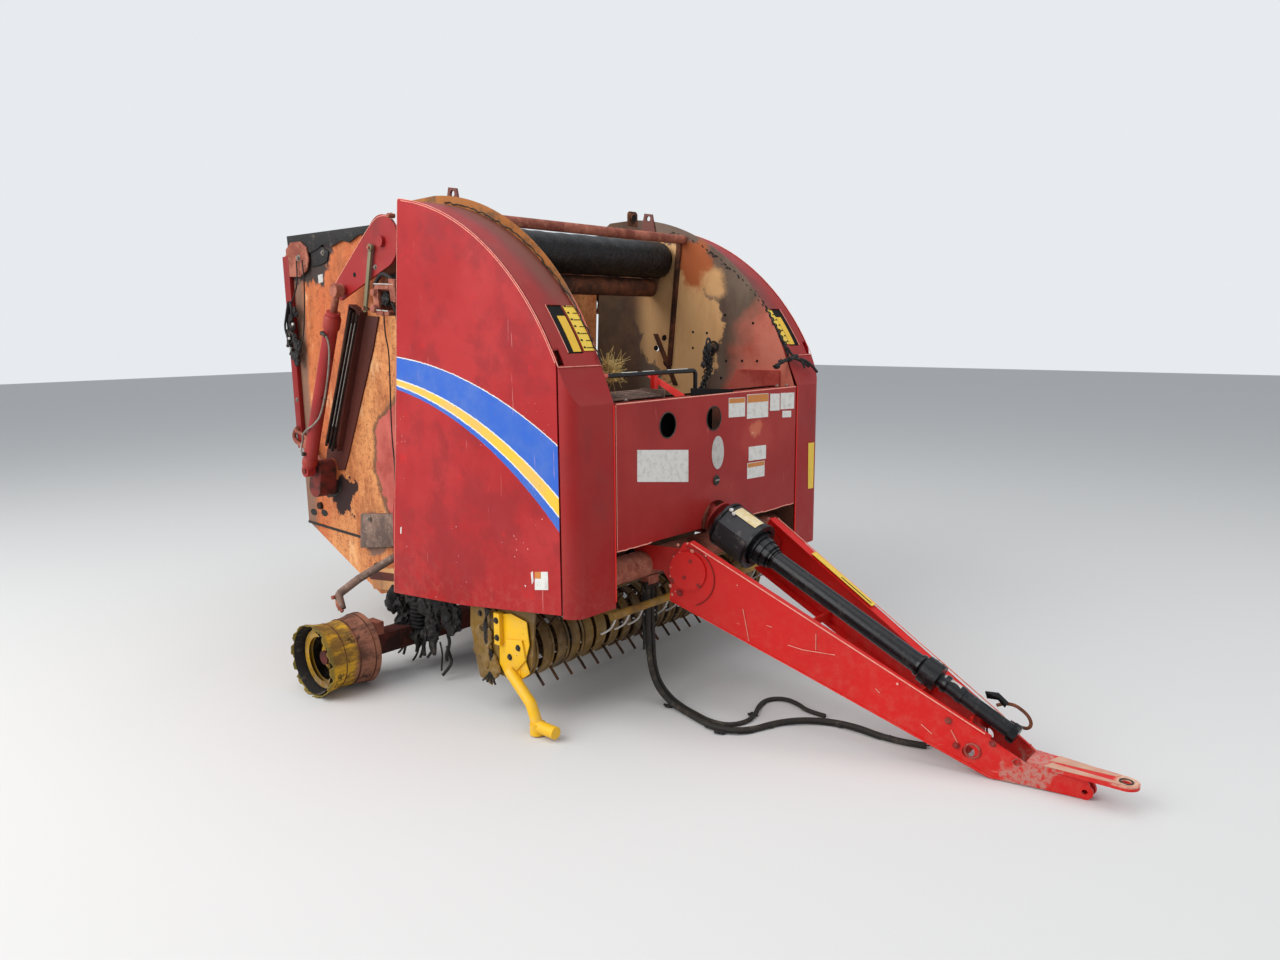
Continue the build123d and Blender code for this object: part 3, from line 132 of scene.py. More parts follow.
class Sheet:
    """Node tree of one material, with short methods for the nodes that the finishes share."""

    def __init__(self, name: str) -> None:
        """Start an empty surface.

        Args:
            name: The material's name.
        """
        self.material = bpy.data.materials.new(name)
        self.material.use_nodes = True
        self.tree = self.material.node_tree
        self.tree.nodes.clear()
        output = self.tree.nodes.new("ShaderNodeOutputMaterial")
        self.shader = self.tree.nodes.new("ShaderNodeBsdfPrincipled")
        self.tree.links.new(self.shader.outputs[0], output.inputs["Surface"])
        self.place = self.node("TexCoord", {}, "Object")
        split = self.node("SeparateXYZ", {0: self.place}).socket.node
        self.x, self.y, self.z = (Value(self, socket) for socket in split.outputs)

    def plug(self, socket: bpy.types.NodeSocket, value: Input) -> None:
        """Link an input to a value or set it.

        Args:
            socket: The input.
            value: A value, a number, a colour or a stretch.
        """
        if isinstance(value, Value):
            self.tree.links.new(value.socket, socket)
        elif socket.type == "RGBA":
            socket.default_value = (*map(linear, value), 1)
        else:
            socket.default_value = value

    def node(self, kind: str, inputs: dict[int | str, Input], output: int | str = 0,
             **settings: str) -> Value:
        """Add a node.

        Args:
            kind: The node's type.
            inputs: What feeds its inputs.
            output: The output that is wanted.
            settings: The node's own settings.

        Returns:
            The output.
        """
        node = self.tree.nodes.new("ShaderNode" + kind)
        for name, setting in settings.items():
            setattr(node, name, setting)
        for name, value in inputs.items():
            self.plug(node.inputs[name], value)
        return Value(self, node.outputs[output])

    def math(self, operation: str, first: Value | float, second: Value | float = 0.0) -> Value:
        """Return the result of a sum or the like."""
        return self.node("Math", {0: first, 1: second}, operation=operation)

    def mix(self, share: Value | float, first: Value | Colour, second: Value | Colour) -> Value:
        """Return a blend of two colours, with the first where the share is 0."""
        return self.node("Mix", {0: share, 6: first, 7: second}, 2, data_type="RGBA")

    def fade(self, value: Value, low: float, high: float) -> Value:
        """Return a share that runs smoothly from 0 at low to 1 at high, which may be the lesser one.

        Args:
            value: The value that is read.
            low: Where the share is 0.
            high: Where the share is 1.

        Returns:
            The share.
        """
        ends = {"Value": value, "From Min": min(low, high), "From Max": max(low, high)}
        share = self.node("MapRange", ends, interpolation_type="SMOOTHSTEP")
        return share if low <= high else 1 - share

    def stretched(self, stretch: Place) -> Value:
        """Return the object coordinates scaled along each axis."""
        return self.node("Mapping", {"Vector": self.place, "Scale": stretch})

    def cloud(self, scale: float, detail: float = 5, roughness: float = 0.6, stretch: Place = (1, 1, 1),
              shift: float = 0, warp: float = 0) -> Value:
        """Return a noise between 0 and 1.

        Args:
            scale: Features per metre.
            detail: Octaves.
            roughness: Weight of the fine octaves.
            stretch: Scale along each axis.
            shift: Another pattern of the same kind.
            warp: Distortion.

        Returns:
            The noise.
        """
        inputs = {"Vector": self.stretched(stretch), "W": shift, "Scale": scale, "Detail": detail,
                  "Roughness": roughness, "Distortion": warp}
        return self.node("TexNoise", inputs, "Fac", noise_dimensions="4D")

    def blots(self, low: float, high: float, *pattern: float | Place, **more: float) -> Value:
        """Return a cloud's blots: 0 where the cloud is at low and 1 where it is at high."""
        return self.fade(self.cloud(*pattern, **more), low, high)

    def cells(self, scale: float) -> Value:
        """Return the distance to the nearest of many scattered points."""
        return self.node("TexVoronoi", {"Vector": self.stretched((1, 1, 1)), "Scale": scale}, "Distance")

    def bump(self, height: Value, strength: float, depth: float) -> None:
        """Give the surface relief of a depth in metres."""
        relief = self.node("Bump", {"Height": height, "Strength": strength, "Distance": depth})
        self.plug(self.shader.inputs["Normal"], relief)

    def reach(self, first: Value, second: Value, weight: float = 1) -> Value:
        """Return the distance whose two legs are given, with a weight on the second one's square."""
        square = second * second
        return self.math("SQRT", first * first + (square if weight == 1 else square * weight))

    def disc(self, x: float, z: float) -> Value:
        """Return the distance in metres from an axis across the machine, given in millimetres."""
        return self.reach(self.x - (FRONT_X + x / 1000), self.z - z / 1000)

    def patch(self, x: float, z: float, radius: float, ragged: float, scale: float, soft: float) -> Value:
        """Return 1 inside a ragged round patch seen from the side, and 0 outside it.

        Args:
            x: The patch's middle in millimetres.
            z: Its height.
            radius: Its radius.
            ragged: How far its edge strays.
            scale: Lobes of its edge per metre.
            soft: Width of its edge in metres.

        Returns:
            The share.
        """
        distance = self.disc(x, z) + (self.cloud(scale, 6, 0.6, shift=x / 97) - 0.5) * (ragged / 250)
        return self.fade(distance, radius / 1000 + soft / 2, radius / 1000 - soft / 2)

    def close(self, colour: Value | Colour, roughness: Value | float, metallic: Value | float = 0.0) -> None:
        """Feed the shader with a colour, a roughness and a share of bare metal."""
        for name, value in (("Base Color", colour), ("Roughness", roughness), ("Metallic", metallic)):
            self.plug(self.shader.inputs[name], value)
        self.shader.inputs["Specular IOR Level"].default_value = SPECULAR


Surface = tuple[Value, Value | float] | tuple[Value, Value | float, Value | float]


@dataclass(frozen=True)
class Finish:
    """What every finish shares."""

    def surface(self, s: Sheet) -> Surface:
        """Return the colour and the roughness, and the share of bare metal where there is any."""
        raise NotImplementedError

    def build(self, name: str) -> bpy.types.Material:
        """Return the finish as a material.

        Args:
            name: The material's name.

        Returns:
            The material.
        """
        sheet = Sheet(name)
        sheet.close(*self.surface(sheet))
        return sheet.material


@dataclass(frozen=True)
class Paint(Finish):
    """Old machine paint: faded in clouds, streaked, chipped to rust and dusty low down."""

    base: Colour
    faded: Colour
    rust: Colour = (92, 44, 26)
    fading: float = 0.55
    chipping: float = 0.5
    dusting: float = 0.35
    soot: float = 0.0
    dust: ClassVar[Colour] = (176, 158, 134)
    smoke: ClassVar[Colour] = (44, 36, 32)

    def coat(self, s: Sheet) -> Value:
        """Return the paint's colour without its chips.

        Args:
            s: The node tree.

        Returns:
            The colour.
        """
        colour = s.mix(s.blots(0.40, 0.66, 2.4, 5, 0.62, shift=3.1) * self.fading, self.base, self.faded)
        colour = s.mix(s.blots(0.56, 0.75, 9, 4, 0.6, (1, 1, 0.12), 5) * 0.28, colour, self.faded)
        dust = s.fade(s.z, 0.75, 0.05) * s.blots(0.42, 0.7, 26, 6, 0.7, shift=8)
        colour = s.mix(dust * self.dusting, colour, self.dust)
        if self.soot:
            colour = s.mix(s.blots(0.5, 0.68, 4.2, 6, 0.65, (1, 1, 0.5), 11) * self.soot, colour, self.smoke)
        return colour

    def chips(self, s: Sheet, colour: Value) -> Value:
        """Return the colour with rust showing in small chips."""
        where = s.blots(0.5, 0.62, 3.1, 4, 0.6, shift=14) * s.fade(s.cells(54), 0.16, 0.09)
        return s.mix(where * self.chipping, colour, self.rust)

    def surface(self, s: Sheet) -> Surface:
        """Return the chipped paint, half glossy."""
        s.bump(s.cloud(5, 3, 0.5, shift=6), 0.25, 0.012)
        return self.chips(s, self.coat(s)), s.cloud(14, 5, 0.6, shift=2) * 0.35 + 0.26


@dataclass(frozen=True)
class Scorched(Finish):
    """Sheet steel that has been through a fire: tan and orange oxide, grey clouds and soot."""

    light: Colour = (203, 158, 108)
    warm: Colour = (172, 104, 60)
    grey: Colour = (92, 82, 74)
    grey_share: float = 0.5
    soot_share: float = 0.4
    soot: ClassVar[Colour] = (30, 26, 24)

    def coat(self, s: Sheet) -> Value:
        """Return the scorched colour.

        Args:
            s: The node tree.

        Returns:
            The colour.
        """
        colour = s.mix(s.blots(0.38, 0.66, 3, 6, 0.62, (1, 1, 0.25), 1), self.light, self.warm)
        scorch = s.blots(0.50, 0.62, 2.2, 5, 0.6, shift=4, warp=0.5)
        colour = s.mix(scorch * self.grey_share, colour, self.grey)
        colour = s.mix(s.blots(0.56, 0.68, 3.4, 6, 0.7, (1, 1, 0.6), 9) * self.soot_share, colour, self.soot)
        return s.mix(s.blots(0.45, 0.75, 48, 6, 0.75, (1, 1, 0.4), 7) * 0.35, colour, self.warm)

    def surface(self, s: Sheet) -> Surface:
        """Return the scorched steel, dull and grainy."""
        s.bump(s.cloud(22, 6, 0.65, shift=3), 0.35, 0.006)
        return self.coat(s), s.cloud(9, 4) * 0.3 + 0.58


@dataclass(frozen=True)
class Rust(Finish):
    """Bare steel gone brown, pitted and flaking."""

    dark: Colour = (58, 34, 24)
    mid: Colour = (104, 58, 36)
    bright: Colour = (156, 96, 58)
    bright_share: float = 0.5

    def surface(self, s: Sheet) -> Surface:
        """Return the rust, dull and with a trace of metal.

        Args:
            s: The node tree.

        Returns:
            The surface.
        """
        colour = s.mix(s.blots(0.4, 0.62, 8, 6, 0.7), self.dark, self.mid)
        colour = s.mix(s.blots(0.5, 0.7, 31, 6, 0.72, shift=2) * self.bright_share, colour, self.bright)
        s.bump(s.cloud(60, 6, 0.7, shift=1), 0.5, 0.004)
        return colour, 0.8, 0.1


@dataclass(frozen=True)
class Char(Finish):
    """Burnt black rubber or plastic with ash, dull or glossy."""

    black: Colour = (20, 18, 18)
    ash: Colour = (112, 102, 92)
    ash_share: float = 0.3
    gloss: float = 0.45
    relief: float = 0.010
    grain: Place = (1, 1, 1)

    def surface(self, s: Sheet) -> Surface:
        """Return the char, duller where the ash lies.

        Args:
            s: The node tree.

        Returns:
            The surface.
        """
        ash = s.blots(0.52, 0.72, 17, 6, 0.75, self.grain, 3)
        s.bump(s.cloud(24, 6, 0.7, self.grain, 5), 0.6, self.relief)
        return s.mix(ash * self.ash_share, self.black, self.ash), ash * 0.3 + self.gloss


@dataclass(frozen=True)
class Metal(Finish):
    """Worn bright metal: pins, rods and bolt heads."""

    tone: Colour = (150, 142, 132)
    stain: Colour = (84, 62, 46)
    stain_share: float = 0.55
    roughness: float = 0.38

    def surface(self, s: Sheet) -> Surface:
        """Return the metal, duller and less bare where it is stained.

        Args:
            s: The node tree.

        Returns:
            The surface.
        """
        stain = s.blots(0.45, 0.65, 34, 5, 0.7)
        s.bump(s.cloud(90, 4, 0.6), 0.3, 0.002)
        colour = s.mix(stain * self.stain_share, self.tone, self.stain)
        return colour, stain * 0.35 + self.roughness, 0.85 - stain * 0.6


@dataclass(frozen=True)
class Film(Finish):
    """Blank sticker: printed film, dirty and nibbled by weather; its white and grey also make the painted
    highlights along the net frame's rod and the tailgate's struts.
    """

    ground: Colour = (214, 212, 206)
    dirt: Colour = (150, 132, 112)
    dirt_share: float = 0.45

    def surface(self, s: Sheet) -> Surface:
        """Return the dirty film."""
        s.bump(s.cloud(60, 4, 0.6), 0.2, 0.001)
        return s.mix(s.blots(0.45, 0.68, 38, 6, 0.75) * self.dirt_share, self.ground, self.dirt), 0.5


@dataclass(frozen=True)
class ShieldPaint(Finish):
    """Finish of the side shield: red with the blue, white and yellow band that drops towards the front."""

    top: Place = (-1182, -779, 2204)
    stripe_top: Place = (-1293, -686, 2031)
    stripe_low: Place = (-1362, -699, 2035)
    foot: Place = (-1323, -510, 1826)
    blue: Colour = (40, 92, 186)
    white: Colour = (226, 222, 212)
    stripe: Colour = (236, 184, 52)
    outer_face: Point = (0.8466, 0.8474)

    def surface(self, s: Sheet) -> Surface:
        """Return the red paint, the band over it and the chips, flecks and scuffs over both.

        Args:
            s: The node tree.

        Returns:
            The surface.
        """
        paint = Paint((160, 17, 20), (174, 40, 40), fading=0.75, chipping=0.7, dusting=0.3)
        red = s.mix(s.blots(0.47, 0.60, 3.6, 6, 0.72, shift=51) * 0.5, paint.coat(s), (126, 20, 26))
        red = s.mix(s.blots(0.62, 0.70, 9, 5, 0.6, shift=61) * 0.5, red, (196, 20, 22))
        nibble = (s.cloud(60, 5, 0.7, shift=21) - 0.5) * 0.010

        def within(arc: Place, margin: float = 0) -> Value:
            """Return 1 on the inner side of one of the band's arcs."""
            radius = (arc[2] + margin) / 1000
            return s.fade(s.disc(*arc[:2]) + nibble, radius + 0.001, radius - 0.001)

        band = s.mix(within(self.top), self.white, self.blue)
        for arc, margin, tone in ((self.stripe_top, 5, self.white), (self.stripe_top, 0, self.stripe),
                                  (self.stripe_low, 0, self.white), (self.stripe_low, -5, self.blue)):
            band = s.mix(within(arc, margin), band, tone)
        band = s.mix(s.blots(0.35, 0.8, 6, 5, 0.7, shift=17) * 0.35, band, (120, 138, 168))
        inside = within(self.top, 4) * (1 - within(self.foot, -3)) * s.fade(abs(s.y), *self.outer_face)
        colour = s.mix(inside * s.blots(0.70, 0.66, 44, 6, 0.75, shift=19), red, band)
        colour = paint.chips(s, colour)
        fleck = s.fade(s.cells(42), 0.10, 0.07) * s.blots(0.57, 0.62, 5, 4, 0.6, shift=33)
        colour = s.mix(fleck * s.fade(s.z, 1.5, 0.7), colour, (232, 204, 198))
        colour = s.mix(s.blots(0.70, 0.74, 70, 3, 0.5, (1, 1, 0.06), 23) * 0.35, colour, (226, 168, 158))
        s.bump(s.cloud(2.6, 3, 0.5, shift=6), 0.5, 0.030)
        return colour, s.cloud(14, 5, 0.6, shift=2) * 0.3 + 0.3


@dataclass(frozen=True)
class WallScorch(Finish):
    """Finish of the walls: tan oxide to the rear, a grey scorch across the middle and bare red in front."""

    blobs: tuple[Place, ...] = ((-760, 1640, 250), (-700, 1480, 230), (-640, 1330, 150), (-800, 1800, 160),
                                (-560, 1560, 130))
    tongue: Place = (-480, 1740, 75)
    orange: Place = (-580, 1850, 110)

    def surface(self, s: Sheet) -> Surface:
        """Return the wall's zones from the front to the rear, darker low down and at the rear, with rust on
        the crest.

        Args:
            s: The node tree.

        Returns:
            The surface.
        """
        tan = s.mix(s.blots(0.45, 0.75, 5, 6, 0.7, (1, 1, 0.3), 2), (228, 180, 124), (198, 138, 84))
        grey = s.mix(s.blots(0.4, 0.7, 6, 6, 0.65, (1, 1, 0.4), 6), (104, 92, 82), (66, 58, 54))
        red = s.mix(s.blots(0.35, 0.7, 4, 6, 0.65, shift=8), (206, 112, 96), (178, 64, 52))
        line = s.x - (FRONT_X - 0.36) + (s.cloud(4, 6, 0.6, shift=31) - 0.5) * 0.4 - (s.z - 1.42) * 0.55
        colour = s.mix(s.fade(line, -0.04, 0.12), grey, red)
        for blob in self.blobs:
            colour = s.mix(s.patch(*blob, 90, 8, 0.02), colour, tan)
        colour = s.mix(s.patch(*self.orange, 70, 9, 0.06), colour, (176, 88, 44))
        colour = s.mix(s.patch(*self.tongue, 40, 9, 0.05), colour, tan)
        dark = s.mix(s.blots(0.4, 0.7, 7, 6, 0.7, shift=12), (40, 32, 30), (86, 60, 46))
        rear = s.fade(s.x, FRONT_X - 0.86, FRONT_X - 1.02)
        colour = s.mix(s.math("MAXIMUM", rear, s.fade(s.z, 1.22, 1.05)), colour, dark)
        rim = s.mix(s.blots(0.45, 0.65, 9, 6, 0.7, shift=41), (158, 92, 30), (84, 54, 30))
        colour = s.mix(s.fade(s.y, -0.60, -0.62) * s.fade(s.z, 1.60, 1.75), colour, rim)
        s.bump(s.cloud(5, 5, 0.6, shift=3), 0.4, 0.012)
        return s.mix(0.12, colour, Scorched(grey_share=0.15, soot_share=0.1).coat(s)), 0.66


@dataclass(frozen=True)
class GateScorch(Finish):
    """Finish of the tailgate's sides: orange oxide above, and red and pink paint in front and at the foot."""

    pink: Point = (-1130, 900)
    top: Place = (-2010, 1960, 190)
    foot: Place = (-1560, 560, 120)
    burn: Place = (-1835, 722, 104)

    def surface(self, s: Sheet) -> Surface:
        """Return the oxide with its flecks and stains, and the patches and zones over it.

        Args:
            s: The node tree.

        Returns:
            The surface.
        """
        warm = s.mix(s.blots(0.38, 0.68, 5, 6, 0.7, (1, 1, 0.22), 2), (214, 146, 90), (176, 96, 52))
        high = s.fade(s.z - s.x * 2.3 + s.cloud(4, 5) * 0.3, 4.35, 4.65)
        for share, tone in (
                (high * 0.75, (184, 92, 50)),
                (s.blots(0.50, 0.62, 42, 6, 0.8, shift=5) * 0.7, (126, 62, 34)),
                (s.blots(0.54, 0.60, 95, 4, 0.8, shift=15) * 0.45, (150, 70, 30)),
                (s.blots(0.52, 0.66, 7, 6, 0.72, (1, 1, 0.45), 35) * 0.55, (138, 74, 40)),
                (s.blots(0.56, 0.70, 11, 6, 0.72, (1, 1, 0.35), 45) * 0.6, (238, 190, 140)),
                (s.patch(*self.pink, 412, 60, 5, 0.035) * 0.75, (62, 46, 40))):
            warm = s.mix(share, warm, tone)
        pink = s.mix(s.blots(0.4, 0.7, 5, 5, 0.6, shift=9), (186, 92, 80), (150, 58, 50))
        rear = s.fade(s.x + s.cloud(6, 6, 0.7, (1, 1, 0.3)) * 0.10, FRONT_X - 2.02, FRONT_X - 2.07)
        rust = s.mix(s.blots(0.42, 0.62, 14, 6, 0.7, shift=25), (120, 44, 36), (62, 34, 28))
        colour = s.mix(s.patch(*self.pink, 385, 60, 5, 0.012), warm, pink)
        for share, tone in ((rear * 0.85, (112, 90, 76)),
                            (s.patch(*self.top, 120, 6, 0.03), (58, 46, 42)),
                            (s.patch(*self.foot, 60, 8, 0.02) * 0.8, (98, 84, 78)),
                            (s.patch(*self.burn, 90, 11, 0.01), (46, 24, 20)),
                            (s.fade(abs(s.y), 0.640, 0.650), rust)):
            colour = s.mix(share, colour, tone)
        s.bump(s.cloud(6, 6, 0.6, (1, 1, 0.4), 3), 0.45, 0.012)
        return colour, 0.7


@dataclass(frozen=True)
class RimPaint(Finish):
    """Finish of the burnt-out rims: streaked yellow outside the waist and brown-pink rust inside it."""

    waist: Point = (1.04, 1.075)
    torn_edge: Point = (1.176, 1.192)

    def surface(self, s: Sheet) -> Surface:
        """Return the two zones with the bare edge and the soot over them.

        Args:
            s: The node tree.

        Returns:
            The surface.
        """
        yellow = s.mix(s.blots(0.44, 0.60, 16, 6, 0.7, (1, 0.3, 1), 1), (206, 158, 34), (122, 92, 40))
        brown = s.mix(s.blots(0.42, 0.62, 14, 6, 0.7, (1, 0.4, 1), 4), (146, 96, 74), (84, 54, 42))
        colour = s.mix(s.fade(abs(s.y) + (s.cloud(9, 5) - 0.5) * 0.08, *self.waist), brown, yellow)
        worn = s.fade(abs(s.y) + s.cloud(30, 5) * 0.02, *self.torn_edge)
        colour = s.mix(worn * 0.75, colour, (120, 110, 56))
        s.bump(s.cloud(34, 6, 0.7, shift=3), 0.5, 0.006)
        return s.mix(s.blots(0.54, 0.62, 11, 6, 0.75, shift=9) * 0.85, colour, (34, 27, 22)), 0.72


@dataclass(frozen=True)
class FenderPaint(Finish):
    """Finish of the fenders: dull red, smoked brown along the inner edge of the crown."""

    paint: Paint = Paint((148, 20, 20), (146, 44, 38), fading=0.7, soot=0.25, chipping=0.6)

    def surface(self, s: Sheet) -> Surface:
        """Return the paint with the smoked and the warm edge over it.

        Args:
            s: The node tree.

        Returns:
            The surface.
        """
        edge = abs(s.y) + s.cloud(6, 6, 0.7, shift=2) * 0.10
        smoke = s.fade(edge, 0.85, 0.71) * s.fade(s.z, 1.45, 1.75)
        warm = s.fade(edge, 0.80, 0.72) * s.fade(s.z, 1.35, 1.6)
        colour = s.mix(smoke * 0.9, self.paint.chips(s, self.paint.coat(s)), (66, 46, 38))
        s.bump(s.cloud(3, 3, 0.5, shift=6), 0.4, 0.02)
        return s.mix(warm * 0.2, colour, (176, 90, 72)), s.cloud(14, 5) * 0.3 + 0.32


@dataclass(frozen=True)
class TonguePaint(Finish):
    """Finish of the tongue and its hitch: bright red, gritty behind the tip and worn to primer on it."""

    paint: Paint = Paint((204, 20, 16), (188, 30, 24), fading=0.4, chipping=0.4, dusting=0.1)
    gritty: Place = (1345, 48, 66)
    tip: Point = (FRONT_X + 1.582, FRONT_X + 1.600)

    def surface(self, s: Sheet) -> Surface:
        """Return the paint with the grit, the rubbed tip and the scratches over it.

        Args:
            s: The node tree.

        Returns:
            The surface.
        """
        grit = s.patch(*self.gritty, 70, 12, 0.03) * s.blots(0.40, 0.56, 60, 6, 0.8, shift=7)
        colour = s.mix(grit * 0.8, self.paint.chips(s, self.paint.coat(s)), (178, 134, 120))
        tip = s.fade(s.x, *self.tip) * s.fade(s.z, 0.084, 0.088)
        rubbed = s.mix(s.blots(0.42, 0.62, 30, 6, 0.7, shift=3), (212, 178, 150), (186, 112, 94))
        colour = s.mix(tip * 0.9, colour, rubbed)
        s.bump(s.cloud(5, 3, 0.5, shift=6), 0.25, 0.012)
        scratch = s.blots(0.70, 0.74, 70, 3, 0.5, (0.1, 1, 1), 23) * 0.4
        return s.mix(scratch, colour, (226, 128, 112)), s.cloud(14, 5, 0.6, shift=2) * 0.35 + 0.26


@dataclass(frozen=True)
class NetPaint(Finish):
    """Finish of the net frame: black rod between end plates that keep the wall's faded red."""

    ends: Point = (0.596, 0.600)

    def surface(self, s: Sheet) -> Surface:
        """Return the black rod and its red ends.

        Args:
            s: The node tree.

        Returns:
            The surface.
        """
        ends = s.fade(abs(s.y), *self.ends)
        red = s.mix(s.blots(0.4, 0.65, 6, 6, 0.7), (196, 92, 78), (160, 56, 46))
        s.bump(s.cloud(30, 5, 0.6), 0.3, 0.003)
        return s.mix(ends, (22, 21, 22), red), ends * 0.35 + 0.25


@dataclass(frozen=True)
class PanelPaint(Finish):
    """Finish of the front panel: dull dark red with a tan splash under the labels."""

    paint: Paint = Paint((146, 22, 20), (160, 44, 38), fading=0.7, chipping=0.35, dusting=0.1, soot=0.12)
    splashes: tuple[tuple[float, float, float, Colour, float], ...] = (
        (0.284, 1.086, 0.062, (206, 120, 84), 0.9), (0.272, 1.076, 0.022, (226, 170, 130), 0.9),
        (0.30, 1.05, 0.16, (176, 62, 50), 0.45), (0.02, 0.80, 0.20, (166, 52, 44), 0.4))
    flatness: float = 2.2

    def surface(self, s: Sheet) -> Surface:
        """Return the paint with the splashes and the scratches over it.

        Args:
            s: The node tree.

        Returns:
            The surface.
        """
        colour = self.paint.chips(s, self.paint.coat(s))
        for y, z, radius, tone, share in self.splashes:
            reach = s.reach(s.y - y, s.z - z, self.flatness) + (s.cloud(16, 5, 0.7, shift=y) - 0.5) * 0.12
            colour = s.mix(s.fade(reach, radius, radius * 0.55) * share, colour, tone)
        s.bump(s.cloud(2.2, 3, 0.5, shift=6), 0.45, 0.03)
        scratch = s.blots(0.70, 0.74, 60, 3, 0.5, (1, 1, 0.08), 23) * 0.3
        return s.mix(scratch, colour, (206, 128, 112)), s.cloud(14, 5) * 0.25 + 0.3


RECIPES = {
    "shield_red": ShieldPaint(),
    "lever_red": Paint((148, 32, 32), (160, 66, 60), fading=0.8, soot=0.35, chipping=0.8),
    "red_clean": Paint((204, 24, 18), (196, 44, 34), fading=0.5, chipping=0.5, dusting=0.2),
    "red_bright": Paint((224, 36, 28), (214, 60, 46), fading=0.3, chipping=0.3, dusting=0.2),
    "red_deep": Paint((176, 24, 20), (168, 40, 32), fading=0.5, soot=0.25, chipping=0.5, dusting=0.2),
    "red_smoked": Paint((150, 34, 28), (150, 84, 70), soot=0.75, chipping=0.8),
    "maroon": Paint((132, 22, 20), (140, 44, 38), fading=0.6, chipping=0.9, dusting=0.2, soot=0.2),
    # Burnt maroon; on the tailgate's struts its darkness is partly painted shade, and on the tailgate's
    # shadow plate it is all painted shadow.
    "maroon_burnt": Scorched((92, 40, 30), (70, 32, 24), (50, 38, 32), grey_share=0.6, soot_share=0.8),
    "fender_red": FenderPaint(),
    "tongue_red": TonguePaint(),
    "panel": PanelPaint(),
    "wall": WallScorch(),
    "gate": GateScorch(),
    "net": NetPaint(),
    "rim_paint": RimPaint(),
    "scorched": Scorched(),
    "scorched_dark": Scorched((150, 110, 76), (104, 66, 42), grey_share=0.6, soot_share=0.95),
    "rust": Rust(),
    "rust_pink": Rust((122, 62, 48), (164, 98, 78), (196, 138, 112)),
    "rust_dark": Rust((34, 24, 20), (66, 42, 30), (110, 72, 48), 0.4),
    "rust_grey": Rust((96, 78, 70), (140, 112, 98), (176, 150, 130), 0.6),
    "rust_axle": Rust((50, 28, 24), (92, 40, 32), (120, 66, 50), 0.4),
    "rust_reel": Rust((44, 30, 22), (84, 54, 34), (132, 92, 52), 0.4),
    "char": Char(),
    "char_dull": Char((30, 27, 26), (128, 116, 102), 0.55, 0.6),
    "char_runs": Char((16, 15, 15), (70, 62, 58), 0.3, 0.32, 0.02, (0.4, 1.6, 1)),
    "plastic": Char((25, 25, 27), (112, 106, 100), 0.25, 0.27, 0.002),
    "plastic_worn": Char((54, 54, 56), (150, 144, 136), 0.5, 0.34, 0.002),
    "gloss_black": Char((14, 14, 15), (120, 112, 104), 0.2, 0.16, 0.001),
    "hose": Char((46, 42, 38), (132, 118, 100), 0.55, 0.7, 0.006),
    "dark_hole": Char((12, 11, 11), (30, 28, 26), 0.1, 0.9, 0.001),
    "yellow": Paint((232, 178, 16), (214, 170, 66), (96, 52, 22), fading=0.5, chipping=0.9, dusting=0.25),
    "yellow_dirty": Paint((176, 132, 26), (112, 82, 36), (70, 44, 26), 1.0, 1.0, 0.5, soot=0.85),
    # Burnt yellow whose darkness is partly painted shade, on the pickup's frame, bands and end plates.
    "yellow_burnt": Paint((120, 90, 34), (60, 44, 28), (46, 32, 24), 1.0, 1.0, 0.3, soot=0.9),
    "yellow_flat": Paint((226, 182, 48), (206, 160, 60), fading=0.5, chipping=0.1, dusting=0.0),
    "olive": Paint((112, 104, 78), (140, 128, 100), fading=0.7, dusting=0.1),
    "cream": Paint((206, 178, 150), (190, 110, 92), (150, 60, 46), 1.0, 1.0, 0.6),
    "metal": Metal(),
    "metal_dark": Metal((78, 72, 66), (52, 40, 32), 0.6, 0.5),
    "film_white": Film(),
    "film_orange": Film((196, 124, 58), (150, 110, 80), 0.4),
    "film_scale": Film((226, 190, 70), (170, 136, 70), 0.25),
    "film_grey": Film((186, 182, 176), (120, 112, 104), 0.5),
    "film_pale_yellow": Film((226, 210, 170), (206, 168, 60), 0.8),
    # Light edge colour: real scratches and chips on the tongue, and painted highlights along the shields',
    # fenders' and tongue channels' edges.
    "worn_edge": Film((226, 150, 132), (196, 84, 70), 0.7),
    "hay": Film((196, 168, 104), (120, 88, 44), 0.6),
}

COATS = {
    "shield_red": "side_shield_right side_shield_left",
    "wall": "chamber_wall_right chamber_wall_left",
    "gate": "tailgate_side_right tailgate_side_left",
    "fender_red": "fender_right fender_left lifting_lugs",
    "panel": "front_panel",
    "maroon": "panel_beam shield_hinges",
    "lever_red": "takeup_levers cylinder_barrel_right cylinder_barrel_left",
    "tongue_red": "tongue_channels hitch",
    "red_clean": "tongue_ties",
    "red_smoked": "gearbox",
    "red_deep": "tongue_roots",
    "rust_axle": "axle",
    "rust_grey": "rim_stays",
    "scorched": "tailgate_back tailgate_top tailgate_belly",
    "scorched_dark": "belly_pan takeup_arms",
    # The struts' dark tone is partly painted shade.
    "maroon_burnt": "tailgate_struts",
    "net": "net_frame",
    "rust_dark": "drive_chain gate_roll_top gate_roll_low gate_roll_floor starter_roll floor_roll",
    "char_runs": "takeup_roll_large",
    "rust": "takeup_roll_small",
    "rust_pink": "cross_tubes cylinder_rod_right cylinder_rod_left",
    "yellow": "size_gauge gauge_arms",
    "yellow_dirty": "rim_right rim_left wind_guard",
    # The pickup's frame and bands are darkened partly as painted shade.
    "yellow_burnt": "pickup_bands pickup_frame",
    "rust_reel": "pickup_reel",
    "plastic_worn": "driveline_bell",
    "plastic": "driveline",
    "hose": "hose_long hose_loop",
}


